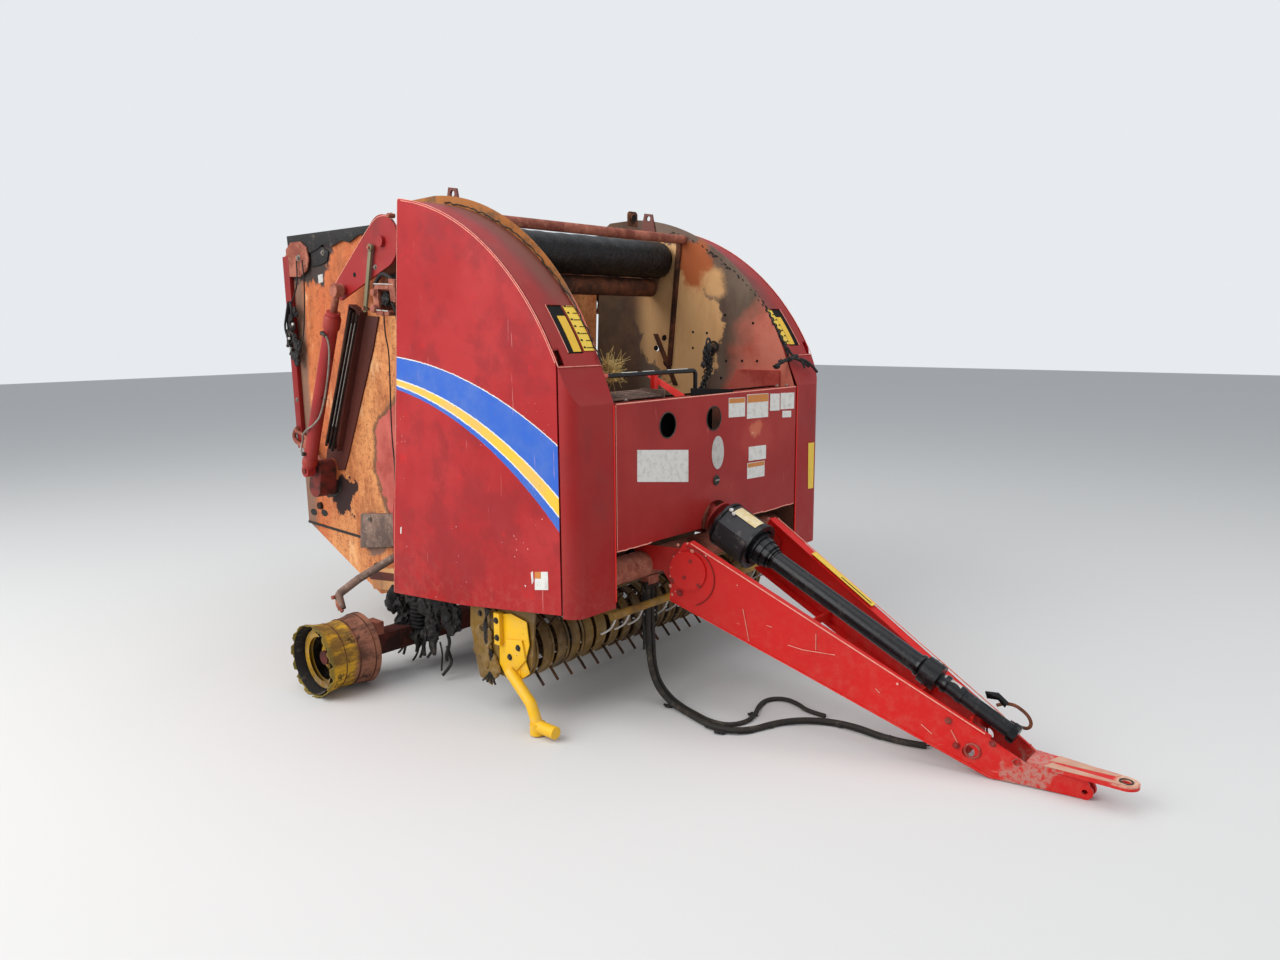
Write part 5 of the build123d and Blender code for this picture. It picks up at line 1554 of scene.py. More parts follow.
@dataclass
class NetFrame(Assembly):
    """Slatted tray, burnt chain, strap and caught straw over the front panel."""

    guide: tuple[Place, ...] = ((-190, -238, 1345), (-178, -226, 1352), (-36, -170, 1262), (-60, -196, 1256))
    arms: tuple[tuple[Place, ...], ...] = (
        ((-64, 548, 1352), (-58, 580, 1372), (-40, 622, 1384), (-34, 660, 1392)),
        ((-34, 640, 1388), (-22, 690, 1382), (-10, 745, 1346)),
        ((-22, 690, 1382), (-2, 735, 1372), (8, 790, 1318)),
        ((-34, 650, 1390), (-70, 640, 1440)),
        ((-20, 684, 1384), (2, 690, 1340)))
    straws: int = 170
    shines: tuple[Point, ...] = ((-520, -430), (-400, -330), (-250, -120))

    def dress(self) -> None:
        """Model the pieces."""
        chance = random.Random(11)
        slats = [self.box((-96 - 24 * step, -600, 1262 + 4 * step), (-80 - 24 * step, -250, 1270 + 4 * step))
                 for step in range(5)]
        ends = [self.box((-196, y, 1250), (-70, y + 8, 1290)) for y in (-606, -258)]
        self.finish("tray", "rust_grey", "rusted_steel", *slats, *ends, edge=1.5)
        self.finish("tray_guide", "red_bright", "red_paint", self.plate(self.guide, (0, 4, 4)),
                    self.box((-150, -246, 1262), (-128, -224, 1352)), edge=1)
        self.finish("burnt_chain", "char_dull", "burnt_steel", *self.chains(chance))
        strap = [self.tube(arm, 8.5 - index, 3) for index, arm in enumerate(self.arms)]
        strap += [self.lump(place, (13, 16, 11), 0.6, 70) for place in self.arms[0]]
        self.finish("burnt_strap", "char_dull", "burnt_rubber", *strap)
        self.finish("caught_straw", "hay", "burnt_rubber", *self.straw(chance))
        # White lines along the black rod are painted highlights.
        shine = [self.tube([(-59, y, 1366.5) for y in (first, (first + last) / 2, last)], 1.6)
                 for first, last in self.shines]
        self.finish("rod_shine", "film_white", "bright_steel", *shine)

    def chains(self, chance: random.Random) -> list[Piece]:
        """Return the hanging chain with its lumps and the straight one at the frame's end.

        Args:
            chance: The random draws.

        Returns:
            The pieces.
        """
        links = self.chain([(-100 + chance.uniform(-4, 4), 62 + 60 * math.sin(step / 3.4) * (step / 16),
                             1448 - step * 12.5) for step in range(17)], 12)
        links += [self.ring((-100, 74, 1462), Vector((1, 0.3, 0)), 24, 4.5),
                  self.ring((-98, 58, 1440), Vector((0.4, 1, 0)), 15, 4)]
        links += [self.lump((-100 + chance.uniform(-8, 8), 60 + chance.uniform(-18, 18), 1450 - 24 * step),
                            (9, 12, 16), 0.5, 60) for step in range(4)]
        links += self.chain([(-474 - 5 * step, 612, 1430 - 15.5 * step) for step in range(17)], 12)
        return [*links, self.ring((-470, 614, 1440), Vector((0, 1, 0)), 22, 4.5)]

    def straw(self, chance: random.Random) -> list[Piece]:
        """Return the caught straws and the wad under them.

        Args:
            chance: The random draws.

        Returns:
            The pieces.
        """
        straws = []
        for _ in range(self.straws):
            root = at(-104 + chance.gauss(0, 15), -524 + chance.gauss(0, 22), 1362 + chance.uniform(-24, 46))
            lean = Vector((chance.gauss(0, 1), chance.gauss(0, 1), chance.gauss(0.55, 0.8))).normalized()
            tip = root + lean * chance.uniform(0.02, 0.075)
            straws.append(self.rod(root - lean * 0.02, tip, 1.2, 5, 0.6))
        return [*straws, self.lump((-104, -524, 1356), (28, 44, 22), 0.6, 70)]


@dataclass
class Chamber(Assembly):
    """Ribs, bolt holes and bearing seats inside the chamber's walls, and the lug on the top tube."""

    holes: Outline = ((-605, 1508), (-518, 1503), (-605, 1429), (-246, 1549), (-409, 1589), (-401, 1368),
                      (-307, 1370), (-221, 1371), (-431, 1284), (-108, 1294))
    seats: tuple[Place, ...] = ((-792, 1478, 13), (-846, 1427, 13), (-773, 1356, 24))
    bolt_places: Outline = ((-720, 1640), (-694, 1880), (-744, 1420))
    lug: Outline = ((168, 1990), (168, 2046), (178, 2056), (222, 2056), (232, 2046), (232, 1990))
    lug_eye: Point = (200, 2026)

    def dress(self) -> None:
        """Model the pieces of both walls and the lug."""
        for self.side in BOTH:
            black = self.pins(*((x, z, 626, 622.4, 6.5) for x, z in self.holes),
                              *((x, z, 626, 621.5, radius, 24) for x, z, radius in self.seats))
            self.finish("wall_holes", "dark_hole", "burnt_steel", *black)
            ribs = self.cut(612, 624.5, ((-672, 1962), (-700, 1962), (-768, 1336), (-740, 1336)))
            ribs += self.cut(616, 624.5, ((-860, 1500), (-832, 1500), (-700, 1240), (-728, 1240)))
            self.finish("wall_ribs", "rust", "burnt_steel", *ribs, edge=1.5)
            bolts = [self.bolt((x, 622, z), self.way(0, -1, 0), 8) for x, z in self.bolt_places]
            self.finish("wall_bolts", "metal_dark", "bright_steel", *bolts)
        self.side = Side.WHOLE
        lug = self.plate([(-626, y, z) for y, z in self.lug], (-8, 0, 0))
        eye = self.ring((-622, *self.lug_eye), Vector((1, 0, 0)), 17, 3)
        self.finish("tube_lug", "rust", "rusted_steel", lug, eye, edge=1)
        hole = self.rod((-625, *self.lug_eye), (-618, *self.lug_eye), 14, 18)
        self.finish("tube_lug_hole", "dark_hole", "burnt_steel", hole)


@dataclass
class TakeupGear(Assembly):
    """Burnt lagging of the large roll and the fittings of the take-up levers."""

    roll_end: Place = (-800, -600, 1864)
    lagging_steps: int = 60
    lagging_radius: float = 88.5
    upper: Point = (-1304, 1882)
    lower: Point = (-1371, 1622)
    bar: Outline = ((-1293, 1884), (-1315, 1888), (-1382, 1620), (-1360, 1616))
    edge: Outline = ((-1160, 2000), (-1240, 2018), (-1318, 1984), (-1480, 1856), (-1640, 1728))

    def dress(self) -> None:
        """Model the pieces."""
        self.body = "takeup_roll_large"
        lagging = [(8 + step * 1184 / self.lagging_steps, self.lagging_radius)
                   for step in range(self.lagging_steps + 1)]
        profile = [(0, 80), *lagging, (1200, 80)]
        sleeve = self.turned(profile, self.roll_end, Vector((0, 1, 0)), 56, 5.5, 16)
        self.finish("roll_lagging", "char_runs", "burnt_rubber", sleeve, smooth=60)
        self.body = "takeup"
        for self.side in BOTH:
            bolts = self.bolts((-1331, 731.5, 1887, 9), (-1162, 731.5, 2005, 9), (-1300, 731.5, 1800, 8))
            self.finish("lever_bolts", "metal", "bright_steel", *bolts)
            self.finish("lever_hole", "dark_hole", "burnt_steel", *self.pins((-1464, 1774, 731, 733, 11, 20)))
            ends = self.pins((*self.upper, 742, 756, 16, 20), (*self.lower, 742, 752, 14, 20))
            self.finish("lever_link", "olive", "rusted_steel", *self.cut(742, 752, self.bar), *ends, edge=1.2)
            pins = self.pins((*self.upper, 730, 764, 8), (*self.lower, 726, 762, 7),
                             (-1622, 1708, 706, 748, 12), (-1156, 2004, 722, 756, 10))
            self.finish("lever_pins", "rust_pink", "rusted_steel", *pins, edge=0.8)
            self.finish("lever_edge", "worn_edge", "red_paint", self.wire(732.4, 1.7, *self.edge))


@dataclass
class LatchGear(Assembly):
    """Brackets and bars in the gap between the chamber wall and the tailgate, with a black plate of painted
    shade behind them.
    """

    cavity: Outline = ((-1330, 1770), (-1120, 1780), (-1100, 1560), (-1190, 1480), (-1248, 1590))

    def dress(self) -> None:
        """Model the pieces of both sides."""
        for self.side in BOTH:
            bars = self.cut(738, 768, ((-1262, 1724), (-1119, 1716), (-1119, 1698), (-1262, 1704)),
                            ((-1262, 1614), (-1165, 1607), (-1165, 1590), (-1262, 1596)))
            tabs = [*self.cut(744, 772, ((-1153, 1744), (-1106, 1738), (-1104, 1646), (-1140, 1650))),
                    *self.cut(742, 760, ((-1288, 1706), (-1252, 1712), (-1244, 1604), (-1284, 1612)))]
            rods = self.pins((-1270, 1690, 650, 776, 15, 16), (-1268, 1622, 650, 780, 18, 16),
                             (-1210, 1602, 650, 774, 12, 16))
            self.finish("latch_brackets", "rust_pink", "rusted_steel", *bars, *tabs, *rods, edge=1.2)
            # The black plate on the wall behind the brackets is painted shade in the gap; the wires and the
            # lump beside it are burnt debris.
            dark = self.cut(650, 656, self.cavity)
            dark += [self.wire(740, 9, (-1300, 1716), (-1270, 1762), (-1210, 1770), (-1170, 1740), sides=3),
                     self.wire(730, 6, (-1250, 1690), (-1200, 1660), (-1160, 1600), (-1150, 1520), sides=3),
                     self.lump((-1230, 736, 1660), (40, 14, 30), 0.6, 40)]
            self.finish("latch_cavity", "char_dull", "burnt_steel", *dark)
            pale = [self.wire(770, 2.4, (-1262, 1726), (-1200, 1724), (-1119, 1718)),
                    self.wire(770, 2.4, (-1262, 1616), (-1165, 1609), smooth=False)]
            self.finish("latch_edges", "film_grey", "bright_steel", *pale)


@dataclass
class Tailgate(Assembly):
    """Burnt flap, rear channel, plates, wires and brackets of the tailgate's sides, and a painted shadow
    beside the strut.
    """

    body: str = "tailgate"
    flap: Outline = ((-2196, 1996), (-1465, 1996), (-1465, 1966), (-1568, 1957), (-1640, 1931), (-1700, 1944),
                     (-1799, 1921), (-1870, 1936), (-1930, 1915), (-2003, 1901), (-2052, 1925), (-2110, 1908),
                     (-2190, 1930))
    channel: Outline = ((-2234, 1896), (-2180, 1900), (-2156, 930), (-2206, 930))
    tab: Outline = ((-2200, 1930), (-2150, 1962), (-2060, 1962), (-2006, 1930), (-1990, 1872), (-2012, 1822),
                    (-2080, 1792), (-2196, 1798))
    patch: Outline = ((-1986, 1938), (-1900, 1934), (-1830, 1902), (-1846, 1858), (-1910, 1842),
                      (-1990, 1836))
    seam: Outline = ((-2184, 545), (-1318, 520), (-1318, 508), (-2184, 533))
    corner: Outline = ((-1290, 600), (-1240, 560), (-1262, 470), (-1318, 430), (-1330, 500))
    box_side: Outline = ((-1644, 652), (-1300, 694), (-1312, 540), (-1663, 480))
    foot: Outline = ((-1610, 392), (-1351, 424), (-1330, 322), (-1560, 292))
    foot_mark: Outline = ((-1600, 380), (-1360, 402), (-1352, 366), (-1580, 340))
    shadow: Outline = ((-1600, 1600), (-1440, 1590), (-1500, 1440), (-1756, 930), (-1800, 850), (-1980, 826),
                       (-1950, 940), (-1900, 990))
    burn: Outline = ((-2120, 872), (-2060, 860), (-1990, 842), (-1900, 836), (-1838, 800), (-1846, 742),
                     (-1902, 706), (-1980, 690), (-2040, 722), (-2104, 716), (-2140, 762), (-2136, 820))
    hook: Outline = ((-2176, 1036), (-2214, 1012), (-2210, 968), (-2150, 950), (-2050, 936), (-1955, 880))
    hook_plate: Outline = ((-2120, 985), (-2040, 975), (-2040, 900), (-2110, 905))
    label: Outline = ((-1945, 1796), (-1900, 1800), (-1902, 1762), (-1942, 1756))
    wires: tuple[Outline, ...] = (
        ((-2084, 1870), (-2084, 1765), (-2130, 1700), (-2196, 1614), (-2176, 1520), (-2148, 1434)),
        ((-2026, 1870), (-2016, 1790), (-2030, 1640), (-2060, 1480), (-2110, 1420)))
    cable: tuple[Place, ...] = (
        (-1367, 655, 1620), (-1370, 656, 1517), (-1342, 655, 1442), (-1350, 655, 1240), (-1356, 655, 1040),
        (-1340, 655, 900), (-1352, 660, 700))

    def dress(self) -> None:
        """Model the pieces of both sides, and the wires of the right one."""
        for self.side in BOTH:
            for name, finish, slot, edge, inner, outer, outline in (
                    ("flap", "char_dull", "burnt_steel", 1, 634, 642, self.flap),
                    ("channel", "maroon", "red_paint", 2, 628, 652, self.channel),
                    ("tab", "rust_pink", "rusted_steel", 1.5, 643, 650, self.tab),
                    ("patch", "char_dull", "burnt_steel", 1.5, 629, 636, self.patch),
                    ("box", "rust_grey", "rusted_steel", 3, 629, 660, self.box_side),
                    ("foot", "scorched", "burnt_steel", 3, 631, 664, self.foot),
                    ("label", "film_grey", "burnt_steel", 0, 628.5, 630.5, self.label)):
                self.finish(f"gate_{name}", finish, slot, *self.cut(inner, outer, outline), edge=edge)
            self.dress_details()
        self.dress_wires(random.Random(8))

    def dress_details(self) -> None:
        """Model the pieces of one side that take more than one plate."""
        bolts = self.bolts((-2079, 650, 1884, 11), (-1878, 636, 1898, 9), (-2190, 652, 1560, 8),
                           (-2180, 652, 1180, 8), (-1560, 668, 640, 9), (-1340, 668, 600, 9),
                           (-1480, 629, 1780, 7))
        self.finish("gate_bolts", "metal", "bright_steel", *bolts)
        dark = [*self.cut(628, 634, self.seam), *self.cut(632, 652, self.corner)]
        self.finish("gate_seam", "char_dull", "burnt_steel", *dark, edge=1)
        # The plate cut from the shadow outline is a painted shadow of the cylinder and the lever on the
        # gate's side.
        face = [*self.cut(664, 668, self.foot_mark), *self.cut(629, 637, self.shadow)]
        self.finish("gate_dark", "maroon_burnt", "burnt_steel", *face, edge=1)
        hook = [self.wire(664, 11, *self.hook, sides=3),
                self.wire(676, 8, (-2170, 1020), (-2090, 1016), (-1990, 942), sides=3),
                *self.cut(629, 672, self.hook_plate)]
        self.finish("gate_hook", "rust_pink", "rusted_steel", *hook, edge=1)
        turns = [22.5 * step for step in range(16)]
        spots = [oval(middle, (30, 17), turns) for middle in ((-2128, 596), (-2024, 604))]
        ovals = self.cut(628, 631, *spots)
        self.finish("gate_burns", "char", "burnt_steel", *ovals, *self.cut(628.5, 631, self.burn))
        ridges = [self.wire(674, 7, (shift - 1580, 1610 - shift * 0.4), (shift - 1868, 958 - shift * 0.4),
                            smooth=False) for shift in (-24, 4, 30)]
        self.finish("strut_ridges", "rust_dark", "burnt_steel", *ridges)
        # Grey lines along the strut are painted highlights.
        shine = [self.wire(682, 1.6, (shift - 1583, 1560), (shift - 1700, 1296), (shift - 1800, 1070))
                 for shift in (-8, 20)]
        self.finish("strut_shine", "film_grey", "bright_steel", *shine)

    def dress_wires(self, chance: random.Random) -> None:
        """Model the burnt wires of the right side.

        Args:
            chance: The random draws.
        """
        self.side = Side.WHOLE
        loose = [[(-2150 + chance.uniform(-50, 50), 1660 - step * 55 + chance.uniform(-16, 16))
                  for step in range(5)] for _ in range(7)]
        burnt = [self.wire(-660 - 3 * index, 3.4 if index < 2 else 5.5, *wire)
                 for index, wire in enumerate((*self.wires, *loose))]
        burnt += [self.lump((-2150 + chance.uniform(-36, 36), -668, 1620 - step * 34), (24, 12, 26), 0.7, 45)
                  for step in range(8)]
        burnt += self.lumps(0.5, 40, (-2140, -662, 1404, 30, 14, 24))
        self.finish("gate_wires", "char_dull", "burnt_rubber", *burnt)
        ash = self.lumps(0.4, 50, (-2186, -660, 1430, 17, 10, 18), (-2120, -682, 1560, 9, 6, 8),
                         (-2160, -684, 1492, 10, 6, 7))
        self.finish("gate_ash", "film_grey", "burnt_steel", *ash)
        cable = self.tube([(x, -y, z) for x, y, z in self.cable], 3.2)
        self.finish("gate_cable", "char_dull", "burnt_rubber", cable)


@dataclass
class Cylinders(Assembly):
    """Gland, fork, port and thin pipe of the lift cylinders."""

    foot: Point = (-1903, 853)
    run: Point = (0.3788, 0.9255)
    glands: tuple[Outline, ...] = (((740, 20), (740, 37), (752, 39), (790, 39), (800, 36), (800, 20)),
                                   ((34, 20), (34, 36), (62, 37), (70, 33), (70, 20)))
    pipe: tuple[Place, ...] = ((718, 34, 812), (700, 56, 800), (520, 62, 784), (330, 56, 784), (270, 40, 806),
                               (230, 0, 814), (180, -40, 806), (140, -52, 792), (96, -40, 806), (96, 0, 816))

    def place(self, step: float, across: float, y: float) -> Place:
        """Return a place beside a cylinder.

        Args:
            step: Distance up from its foot pin.
            across: Distance towards the front.
            y: Distance outward from the machine's middle.

        Returns:
            The place.
        """
        return (self.foot[0] + step * self.run[0] + across * self.run[1], y,
                self.foot[1] + step * self.run[1] - across * self.run[0])

    def dress(self) -> None:
        """Model the pieces of both cylinders."""
        axis = Vector((self.run[0], 0, self.run[1]))
        for self.side in BOTH:
            self.body = self.side.called("barrel")
            glands = [self.turned(profile, self.place(0, 0, 770), axis, 28) for profile in self.glands]
            self.finish("gland", "red_smoked", "red_paint", *glands)
            ports = [self.rod(self.place(step, 0, 796), self.place(step, 0, 818), 10, 6)
                     for step in (718, 96)]
            elbow = self.rod(self.place(718, 0, 812), self.place(718, 34, 812), 8)
            self.finish("ports", "metal_dark", "bright_steel", *ports, elbow)
            pipe = self.tube([self.place(*step) for step in self.pipe], 5, 3)
            self.finish("pipe", "metal", "bright_steel", pipe)
            clips = [self.box(self.place(step, 30, 764), self.place(step + 14, 66, 790))
                     for step in (600, 400)]
            self.finish("clips", "rust_dark", "burnt_steel", *clips)


@dataclass
class RunningGear(Assembly):
    """Burnt-out rims with torn edges, and what hangs between them and the walls."""

    middle: Point = (-1227, 156)
    barrel: Outline = ((0, 156), (0.05, 153), (0.16, 146), (0.4, 140), (0.62, 143), (0.8, 148), (0.94, 154),
                       (1.0, 156))
    rim_outer: float = 1200
    rim_width: float = 248
    rubble: tuple[tuple[float, ...], ...] = (
        (-1238, 700, 262, 60, 36, 60), (-1200, 680, 190, 45, 40, 50), (-1262, 720, 180, 30, 30, 62),
        (-1090, 690, 170, 36, 30, 40), (-1180, 720, 330, 34, 20, 40), (-1300, 690, 236, 26, 20, 50),
        (-1270, 740, 300, 50, 30, 50), (-1050, 700, 280, 60, 30, 90), (-990, 690, 330, 70, 30, 60),
        (-1020, 720, 200, 30, 20, 70), (-920, 700, 300, 50, 30, 90))
    low_scrap: Outline = ((-1452, 300), (-1400, 344), (-1330, 338), (-1296, 292), (-1340, 276), (-1420, 284))
    high_scrap: Outline = ((-1240, 352), (-1180, 360), (-1130, 330), (-1160, 300), (-1220, 320))
    link: tuple[Place, ...] = ((-1330, 990, 372), (-1322, 1004, 350), (-1300, 1006, 330), (-1282, 1000, 316))

    def rim(self, u: float, v: float, inset: float, torn: bool) -> Place:
        """Return a place on a rim's barrel.

        Args:
            u: Share of a turn.
            v: Share of the width from the outer edge to the inner one.
            inset: Depth under the barrel's face.
            torn: Whether the outer edge is torn.

        Returns:
            The place.
        """
        angle = 2 * math.pi * u
        across, up = math.cos(angle), math.sin(angle)
        tear = 0.0
        if torn:
            ragged = abs(noise.noise(Vector((7 * across, 7 * up, self.side.value))))
            tear = 16 * ragged + 9 * (math.sin(angle * 14) > 0.2)
        radius = (along(self.barrel, v) - inset) * (1 + 0.012 * noise.noise(Vector((2 * across, 2 * up, v))))
        radius = min(radius, self.barrel[0][1])
        y = self.rim_outer - tear - v * (self.rim_width - tear)
        return self.middle[0] + radius * across, y, self.middle[1] + radius * up

    def dress(self) -> None:
        """Model the pieces of both rims and the burnt gear beside them."""
        chance = random.Random(21)
        for self.side in BOTH:
            self.body = self.side.called("rim")
            self.dress_rim()
            self.body = "frame"
            self.dress_mounts(chance)

    def dress_rim(self) -> None:
        """Model one rim, which stands for the CAD's."""
        outward = self.way(0, 1, 0)
        barrel = self.skin(lambda u, v: self.rim(u, v, 1.6, True), 112, 20, 3, closed=True)
        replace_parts(self.finish("torn_rim", "rim_paint", "yellow_paint", barrel, smooth=50), self.body)
        centre = self.pins((*self.middle, 1054, 1066, 138, 48), (*self.middle, 962, 1112, 56, 36),
                           (*self.middle, 1112, 1126, 34, 28, 30))
        self.finish("rim_centre", "yellow_dirty", "yellow_paint", *centre, edge=2)
        lining = self.skin(lambda u, v: self.rim(u, 0.04 + v * 0.94, 9, False), 64, 12, 0, closed=True)
        self.finish("rim_lining", "char_dull", "burnt_steel", lining, smooth=60)
        x, z = self.middle
        beads = [self.ring((x, self.rim_outer - share * self.rim_width, z), outward, radius, 3.2, 64)
                 for share, radius in ((0.36, 140), (0.62, 143), (0.9, 151))]
        self.finish("rim_beads", "rust", "rusted_steel", *beads)
        step = self.turned([(0, 96), (0, 128), (-18, 130), (-18, 96)], (x, 1148, z), outward, 40, 3, 12)
        self.finish("rim_step", "yellow_dirty", "yellow_paint", step)
        nuts = self.bolts(*((x, 1066, z, 11) for x, z in oval(self.middle, (86, 86), range(0, 360, 60))))
        self.finish("rim_nuts", "metal_dark", "bright_steel", *nuts)

    def dress_mounts(self, chance: random.Random) -> None:
        """Model what hangs beside one rim.

        Args:
            chance: The random draws.
        """
        block = [self.rod((-1244, 690, 540), (-1272, 716, 512), 19, 20),
                 self.box((-1250, 640, 512), (-1214, 690, 556))]
        self.finish("bar_block", "rust_grey", "rusted_steel", *block, edge=2)
        self.finish("stay_link", "rust_pink", "rusted_steel", self.tube(self.link, 8, 3),
                    *self.pins((-1336, 372, 974, 1016, 9)))
        profile = [(step * 6, 34 + 9 * (step % 3 > 0)) for step in range(22)]
        bellows = self.turned(profile, (-1140, 700, 200), Vector((0, 0, 1)), 28)
        self.finish("burnt_bellows", "char", "burnt_rubber", bellows)
        debris = self.lumps(0.8, 26, *self.rubble)
        for _ in range(26):
            x, z = chance.uniform(-1330, -930), chance.uniform(150, 350)
            places = [(x + chance.uniform(-40, 40), 700 + chance.uniform(-16, 34), max(14, z - step * 42))
                      for step in range(4)]
            debris.append(self.tube(places, chance.uniform(4, 8)))
        self.finish("burnt_gear", "char_dull", "burnt_rubber", *debris)
        scraps = [*self.cut(640, 644, self.low_scrap), *self.cut(676, 680, self.high_scrap)]
        self.finish("torn_scraps", "scorched", "burnt_steel", *scraps, edge=1)
        hub = [*self.pins((*self.middle, 912, 948, 58, 28)), self.box((-1270, 860, 150), (-1184, 900, 258))]
        self.finish("hub_plate", "rust_pink", "rusted_steel", *hub, edge=3)


@dataclass
class Pickup(Assembly):
    """Torn end plates, socket rims and loose wire of the pickup, and the wind guard's tines."""

    body: str = "pickup"
    plate_outline: Outline = ((-470, 420), (-400, 436), (-310, 420), (-298, 330), (-322, 262), (-300, 214),
                              (-352, 176), (-430, 158), (-476, 214))
    boss: Outline = ((-420, 330), (-330, 344), (-312, 268), (-366, 214), (-430, 240))
    burnt: Outline = ((-612, 440), (-520, 452), (-482, 420), (-478, 190), (-530, 108), (-604, 130),
                      (-640, 260))
    reel: Point = (-420, 285)
    reel_radius: float = 127
    bands: int = 19
    reach: float = 760

    def dress(self) -> None:
        """Model the end plates of both sides, the edges of the bands and the tines."""
        for self.side in BOTH:
            torn = [*self.cut(797, 802, self.plate_outline), *self.cut(802, 812, self.boss),
                    self.box((-480, 792, 300), (-446, 822, 430))]
            self.finish("pickup_plate", "yellow", "yellow_paint", *torn, edge=2)
            # The dark burnt plate left of the end plate is darkened further as painted shade.
            burnt = [*self.cut(796, 800, self.burnt),
                     *self.lumps(0.6, 24, (-560, 812, 280, 50, 14, 80), (-500, 808, 200, 30, 12, 50))]
            self.finish("pickup_burnt", "yellow_burnt", "yellow_paint", *burnt, edge=1.5)
            wires = [self.tube([(index * 14 - 540, 812 + 4 * index, 440), (-520 - index * 22, 818, 330),
                                (index * 30 - 548, 814, 220), (-500 - index * 26, 806, 120)], 4)
                     for index in range(4)]
            self.finish("pickup_wires", "char_dull", "burnt_rubber", *wires)
            bolts = self.bolts((-350, 812, 310, 9), (-400, 812, 262, 9), (-464, 822, 400, 9),
                               (-462, 822, 330, 9), (-588, 800, 400, 9))
            self.finish("pickup_bolts", "metal_dark", "bright_steel", *bolts)
        self.side = Side.WHOLE
        turn = oval(self.reel, (self.reel_radius,) * 2, [step * 360 / 14 for step in range(11, 19)])
        edges = [self.wire(2 * self.reach * step / (self.bands - 1) - self.reach, 5, *turn)
                 for step in range(self.bands)]
        self.finish("band_edges", "yellow_burnt", "yellow_paint", *edges)
        self.body = "guard"
        tines = [self.tube([(-60, y, 440), (-74, y, 404), (-104, y + 4, 366), (-150, y + 6, 342)], 4)
                 for y in (-560, -480, -400, *range(-240, 600, 80))]
        self.finish("guard_tines", "film_grey", "bright_steel", *tines)


@dataclass
class Tongue(Assembly):
    """Bolts, stickers, scratches, worn patches and painted edge highlights of the tongue and its hitch."""

    root_bolts: Outline = ((108, 632), (82, 564), (60, 496), (142, 540), (30, 545))
    tip_bolts: Outline = ((1080, 182), (1110, 98), (1225, 132))
    marks: tuple[Outline, ...] = (
        ((324, 470), (350, 347)), ((504, 357), (560, 348)), ((560, 348), (681, 349)),
        ((609, 417), (610, 356)), ((991, 150), (1029, 122)), ((1091, 150), (1116, 105)),
        ((420, 420), (440, 416)), ((830, 250), (845, 236)))
    chips: tuple[Place, ...] = (
        (112, 672, 9), (98, 655, 5), (130, 610, 4), (70, 600, 5), (170, 660, 4), (300, 560, 3), (905, 282, 5),
        (60, 660, 4), (44, 620, 4), (20, 560, 6), (18, 520, 8), (26, 486, 6), (24, 600, 5), (34, 640, 5),
        (52, 690, 6), (92, 700, 5), (22, 544, 3), (40, 500, 3))
    sticker: Outline = ((330, 262), (330, 226), (640, 166), (640, 200))
    sticker_line: Outline = ((480, 214), (480, 208), (630, 180), (630, 186))
    worn: tuple[Outline, ...] = (
        ((1388, -6), (1405, 52), (1600, 34), (1590, 18)),
        ((1388, -56), (1602, -34), (1640, -26), (1600, -18), (1400, -18)))
    root: float = 13
    top_edge: Point = (748, 0.4947)
    low_edge: Point = (462, 0.3733)
    face: Point = (330, 0.202)
    face_way: Point = (0.198, 0.98)

    def line(self, edge: Point, x: float) -> float:
        """Return the measure of a straight edge at x, from its measure at the root and its fall."""
        return edge[0] - (x - self.root) * edge[1]

    def web(self, x: float, z: float, lift: float = 0.0) -> Place:
        """Return a place on, or off, the outer face of a channel."""
        return x, self.line(self.face, x) + lift, z

    def dress(self) -> None:
        """Model the pieces of both channels, and those of the hitch."""
        for self.side in BOTH:
            self.dress_channel(self.way(*self.face_way, 0))
        self.side = Side.WHOLE
        for name, finish, slot, lift, thick, outline in (
                ("tongue_sticker", "film_scale", "yellow_paint", 1.5, 1.6, self.sticker),
                ("tongue_sticker_line", "dark_hole", "black_plastic", 3.2, 0.8, self.sticker_line)):
            places = [(x, y, self.line(self.top_edge, x) + lift) for x, y in outline]
            self.finish(name, finish, slot, self.plate(places, (0, 0, thick)))
        worn = [self.plate([(x, y, 90) for x, y in outline], (0, 0, 1.8)) for outline in self.worn]
        self.finish("hitch_worn", "cream", "red_paint", *worn)
        rims = [self.ring((1622, 0, z), Vector((0, 0, 1)), 19, 3) for z in (91, 75)]
        self.finish("hitch_rims", "metal_dark", "bright_steel", *rims)

    def dress_channel(self, facing: Vector) -> None:
        """Model the pieces of one channel.

        Args:
            facing: Where its web faces.
        """
        # The light line along the top edge and the bright red line along the lower edge are painted
        # highlights.
        high = [self.web(x, self.line(self.top_edge, x), 1.2) for x in (108, 400, 800, 1200)]
        low = [self.web(x, self.line(self.low_edge, x), 0.8) for x in (20, 400, 800, 1236)]
        self.finish("tongue_edge", "worn_edge", "red_paint", self.tube(high, 2.4, smooth=False))
        self.finish("tongue_low_edge", "red_bright", "red_paint", self.tube(low, 1.8, smooth=False))
        bolts = [self.bolt(self.web(*place, 1), facing, size)
                 for places, size in ((self.root_bolts, 9), (self.tip_bolts, 8)) for place in places]
        self.finish("tongue_bolts", "maroon", "red_paint", *bolts)
        groove = [self.web(*place, 0.8) for place in oval((88, 566), (118, 118), range(-70, 100, 10))]
        self.finish("root_groove", "maroon", "red_paint", self.tube(groove, 2.4))
        rings = [self.ring(self.web(1162, 90), facing, 25, 4),
                 self.ring(self.web(1301, 83), facing, 12, 3, 4)]
        self.finish("jack_rim", "red_smoked", "red_paint", *rings)
        scratches = [self.tube([self.web(*end, 0.2) for end in mark], 1.5, 1, smooth=False)
                     for mark in self.marks]
        chips = [self.rod(self.web(x, z, -1), self.web(x, z, 0.9), size, 7) for x, z, size in self.chips]
        self.finish("tongue_marks", "worn_edge", "red_paint", *scratches, *chips)


